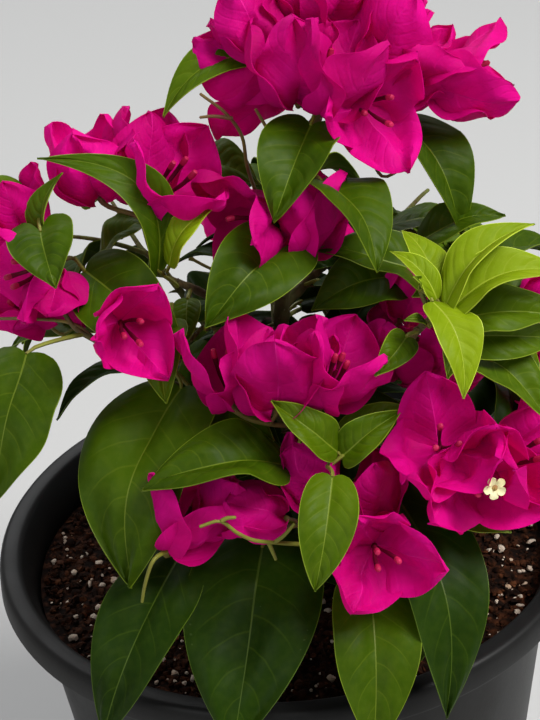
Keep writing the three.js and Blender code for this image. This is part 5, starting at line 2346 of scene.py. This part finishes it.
@dataclass
class NurseryPot:
    """The pot: turned from one ring that is drawn up the wall, over the collar and down inside."""

    sizes: PotSizes = POT
    sides: int = 144
    smooth: float = 40

    def profile(self) -> list[tuple[float, float]]:
        """Returns the radius and height of each ring, from the underside round to the inner floor."""
        p = self.sizes
        collar = p.height - p.collar_drop
        skirt = p.rim_radius + p.collar_flare
        inner = p.shoulder_radius - p.wall
        return [
            (p.foot_radius - 2.2, 0), (p.foot_radius - 0.6, 0.5), (p.foot_radius, 2.2),
            (p.wall_at(60), 60), (p.wall_at(120), 120), (p.wall_at(176), 176),
            (p.shoulder_radius - 0.4, p.shoulder_z - 4), (p.shoulder_radius + 0.6, p.shoulder_z),
            (p.rim_inner + 1.2, p.height - p.lip - 1), (p.rim_radius - 2.4, p.height - p.lip - 1.4),
            (skirt - 1.9, collar + 0.4), (skirt - 1.3, collar), (skirt - 0.4, collar + 0.2),
            (skirt, collar + 1.2), (skirt - 0.4, p.height - 4), (p.rim_radius + 0.2, p.height - 1.6),
            (p.rim_radius - 0.7, p.height - 0.4), (p.rim_radius - 2.2, p.height),
            (p.rim_inner + 2.4, p.height - 0.2), (p.rim_inner + 0.8, p.height - 0.9),
            (p.rim_inner, p.height - 2.4), (inner + 0.5, p.shoulder_z), (inner - 0.2, p.shoulder_z - 6),
            (p.wall_at(170) - p.wall, 170), (p.wall_at(p.floor) - p.wall, p.floor + 0.4),
        ]

    def build(self) -> Piece:
        """Returns the pot."""
        rings = self.profile()
        pot = disc("pot_shell", self.sides, *rings[0])
        draw_out(rings, self.smooth)
        pot.data.materials.append(PlasticFinish().make())
        return pot


@dataclass(frozen=True)
class Stones:
    """Small stones of one kind: how many, how large, how fine, uneven, long and sunk, and of what."""

    name: str
    count: int
    sizes: tuple[float, float]
    finer: int
    rough: float
    stretch: float
    sunk: float
    finish: SoilFinish | PerliteFinish


@dataclass
class PottingMix:
    """The soil: a bumpy bed that fills the pot, with loose crumbs, fibres and perlite on it."""

    sizes: PotSizes = POT
    radius: float = POT.wall_at(POT.soil_level) - POT.wall - 0.5
    sides: int = 120
    rings: int = 44
    smooth: float = 70
    bumps: tuple[tuple[float, int, float], ...] = ((0.028, 2, 3.2), (0.006, 4, 2.6))
    edge_clear: float = 2.5
    random: np.random.Generator = field(default_factory=lambda: np.random.default_rng(7))
    mix: SoilFinish = SoilFinish(
        "soil", (0.0044, 0.0014, 0.0006), (0.042, 0.0120, 0.0040), (0.110, 0.038, 0.014)
    )
    dark: SoilFinish = SoilFinish(
        "crumb_dark", (0.0075, 0.0024, 0.0010), (0.052, 0.0155, 0.0052), (0.11, 0.037, 0.013)
    )
    warm: SoilFinish = SoilFinish(
        "crumb_warm", (0.026, 0.007, 0.0025), (0.100, 0.032, 0.011), (0.20, 0.09, 0.04)
    )

    def bed(self) -> Piece:
        """Returns the bed: a disc drawn down into the pot, its top subdivided and pushed about."""
        p = self.sizes
        bed = disc("soil_bed", self.sides, self.radius, p.soil_level)
        bpy.ops.object.mode_set(mode="EDIT")
        bpy.ops.mesh.select_mode(type="FACE")
        bpy.ops.mesh.select_all(action="SELECT")
        for _ in range(self.rings - 1):
            bpy.ops.mesh.inset(thickness=self.radius / self.rings * MM)
        bpy.ops.mesh.poke()
        bpy.ops.object.mode_set(mode="OBJECT")
        for bump in self.bumps:
            push_about(bed, *bump, "Z")
        foot = (p.wall_at(p.floor) - p.wall - 1, p.floor + 1)
        draw_out([(self.radius, p.soil_level), foot], self.smooth)
        bed.data.materials.append(self.mix.make())
        return bed

    def scatter(self, stones: Stones) -> Piece:
        """Scatters small stones over the bed.

        Args:
            stones: What kind they are of.

        Returns:
            The joined piece.
        """
        bpy.ops.object.select_all(action="DESELECT")
        bpy.ops.mesh.primitive_ico_sphere_add(subdivisions=stones.finer, radius=1)
        ball = bpy.context.object
        core = np.array([v.co[:] for v in ball.data.vertices])
        tris = np.array([(*f.vertices, f.vertices[2]) for f in ball.data.polygons])
        bpy.data.objects.remove(ball)
        heap = Heap()
        draw, normal = self.random.random, self.random.standard_normal
        for _ in range(stones.count):
            reach = (self.radius - self.edge_clear) * draw() ** 0.5
            turn = draw() * tau
            radius = blend(*stones.sizes, draw() ** 2.4)
            form = core * (1 + stones.rough * normal(len(core))[:, None].clip(-1.2, 1.2))
            form = form * np.array([1 + stones.stretch * draw(), 1, 0.55 + 0.35 * draw()])
            spin = Matrix.Rotation(draw() * tau, 3, "Z") @ Matrix.Rotation(0.5 * normal(), 3, "X")
            level = self.sizes.soil_level + 1.0 - radius * stones.sunk
            middle = np.array([reach * cos(turn), reach * sin(turn), level])
            points = middle + (form @ np.array(spin).T) * radius
            heap.add(points, tris, np.zeros(len(tris), int), np.zeros((len(points), 2)))
        return heap.piece(stones.name, [stones.finish.make()])

    def build(self) -> list[Piece]:
        """Returns the bed and what lies on it."""
        return [
            self.bed(),
            self.scatter(Stones("soil_crumbs", 5200, (0.6, 2.4), 1, 0.22, 0.4, 0.1, self.dark)),
            self.scatter(Stones("soil_fibres", 1500, (0.5, 1.5), 1, 0.25, 1.2, -0.2, self.warm)),
            self.scatter(Stones("perlite_grains", 760, (0.4, 1.8), 2, 0.13, 0.35, -0.1, PerliteFinish())),
        ]


@dataclass(frozen=True)
class Camera:
    """The photograph's camera: a long lens that looks down on the bush."""

    place: Triple = (-1.75, -710.5, 701.5)
    pitch: float = 30.52
    roll: float = -4.99
    lens: float = 100
    sensor: float = 36
    upright: float = 4 / 3

    def axes(self) -> tuple[Vector, Vector, Vector]:
        """Returns the viewer's right, the viewer's up and the way towards the viewer."""
        down = radians(self.pitch)
        ahead = Vector((0, cos(down), -sin(down)))
        level = Vector((1, 0, 0))
        top = level.cross(ahead)
        c, s = cos(radians(self.roll)), sin(radians(self.roll))
        return level * c + top * s, top * c - level * s, -ahead

    def seen(self, point: Vector) -> tuple[float, float]:
        """Returns where a point shows, as shares of the picture from its left and top."""
        right, up, back = self.axes()
        ahead = point - Vector(self.place)
        reach = self.lens / self.sensor / -ahead.dot(back)
        return 0.5 + ahead.dot(right) * reach * self.upright, 0.5 - ahead.dot(up) * reach

    def build(self) -> None:
        """Makes the scene's camera."""
        data = bpy.data.cameras.new("camera")
        data.lens, data.sensor_width, data.sensor_fit = self.lens, self.sensor, "AUTO"
        data.clip_start, data.clip_end = 0.05, 60
        camera = bpy.data.objects.new("camera", data)
        turn = Matrix(self.axes()).transposed().to_4x4()
        camera.matrix_world = Matrix.Translation(Vector(self.place) * MM) @ turn
        bpy.context.scene.collection.objects.link(camera)
        bpy.context.scene.camera = camera


@dataclass
class Studio:
    """Plain pale floor and soft light."""

    floor_half: float = 8
    lamps: tuple[tuple[str, Triple, float, float, Colour], ...] = (
        ("key", (1.1, -0.6, 1.8), 1.0, 46, (1.0, 0.99, 0.97)),
        ("fill", (-1.5, -1.6, 1.4), 1.8, 14, (0.98, 0.99, 1.0)),
        ("back", (-0.4, 1.5, 1.8), 1.5, 19, (0.98, 0.99, 1.0)),
    )
    aim: Triple = (0, 0, 0.28)

    def floor(self) -> None:
        """Makes the floor."""
        bpy.ops.object.select_all(action="DESELECT")
        bpy.ops.mesh.primitive_plane_add(size=2 * self.floor_half, location=(0, 0, 0))
        floor = bpy.context.object
        floor.name = "studio_floor"
        bench = Bench("studio_floor")
        bench.set(Base_Color=(0.53, 0.53, 0.525), Roughness=0.85, Specular_IOR_Level=0.0)
        floor.data.materials.append(bench.material)

    def build(self) -> None:
        """Makes the floor, the lamps and the surrounding light."""
        self.floor()
        for name, place, size, power, colour in self.lamps:
            data = bpy.data.lights.new(name, "AREA")
            data.shape, data.size, data.energy, data.color = "DISK", size, power, colour
            lamp = bpy.data.objects.new(name, data)
            lamp.location = place
            way = Vector(self.aim) - Vector(place)
            lamp.rotation_euler = way.to_track_quat("-Z", "Y").to_euler()
            bpy.context.scene.collection.objects.link(lamp)
        world = bpy.data.worlds.new("soft_light")
        world.use_nodes = True
        back = world.node_tree.nodes["Background"]
        back.inputs["Color"].default_value = (0.97, 0.98, 1.0, 1)
        back.inputs["Strength"].default_value = 0.34
        bpy.context.scene.world = world
        bpy.context.scene.view_settings.view_transform = "Standard"


def hand_over(pieces: Iterable[Piece], nodes: Sequence[str]) -> None:
    """Lets pieces ride on the body and stand for their nodes.

    Args:
        pieces: The finished pieces.
        nodes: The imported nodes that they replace.
    """
    for piece in pieces:
        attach(piece, ROOT)
        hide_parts(*nodes)
        LOG.info("%s: %d faces", piece.name, len(piece.data.polygons))


def main() -> None:
    """Builds all pieces in order and hands them over."""
    logging.basicConfig(level=logging.INFO, format="%(message)s")
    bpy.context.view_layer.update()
    Camera().build()
    Studio().build()
    bush = Bush()
    LOG.info(
        "grown: %d twigs, %d leaves, %d flowers",
        len(bush.all("twigs")), len(bush.all("leaves")), len(bush.all("flowers")),
    )
    masses = list(MASSES)
    hand_over([NurseryPot().build()], ["pot"])
    hand_over(PottingMix().build(), ["soil"])
    trunk, boughs = Limbs(bush).build()
    hand_over([trunk], ["trunk"])
    hand_over([boughs], list(BOUGHS))
    hand_over([Twiggery(bush).build()], masses)
    hand_over(Foliage(bush).build(), masses)
    hand_over(Blossom(bush).build(), masses)


if __name__ == "__main__":
    main()
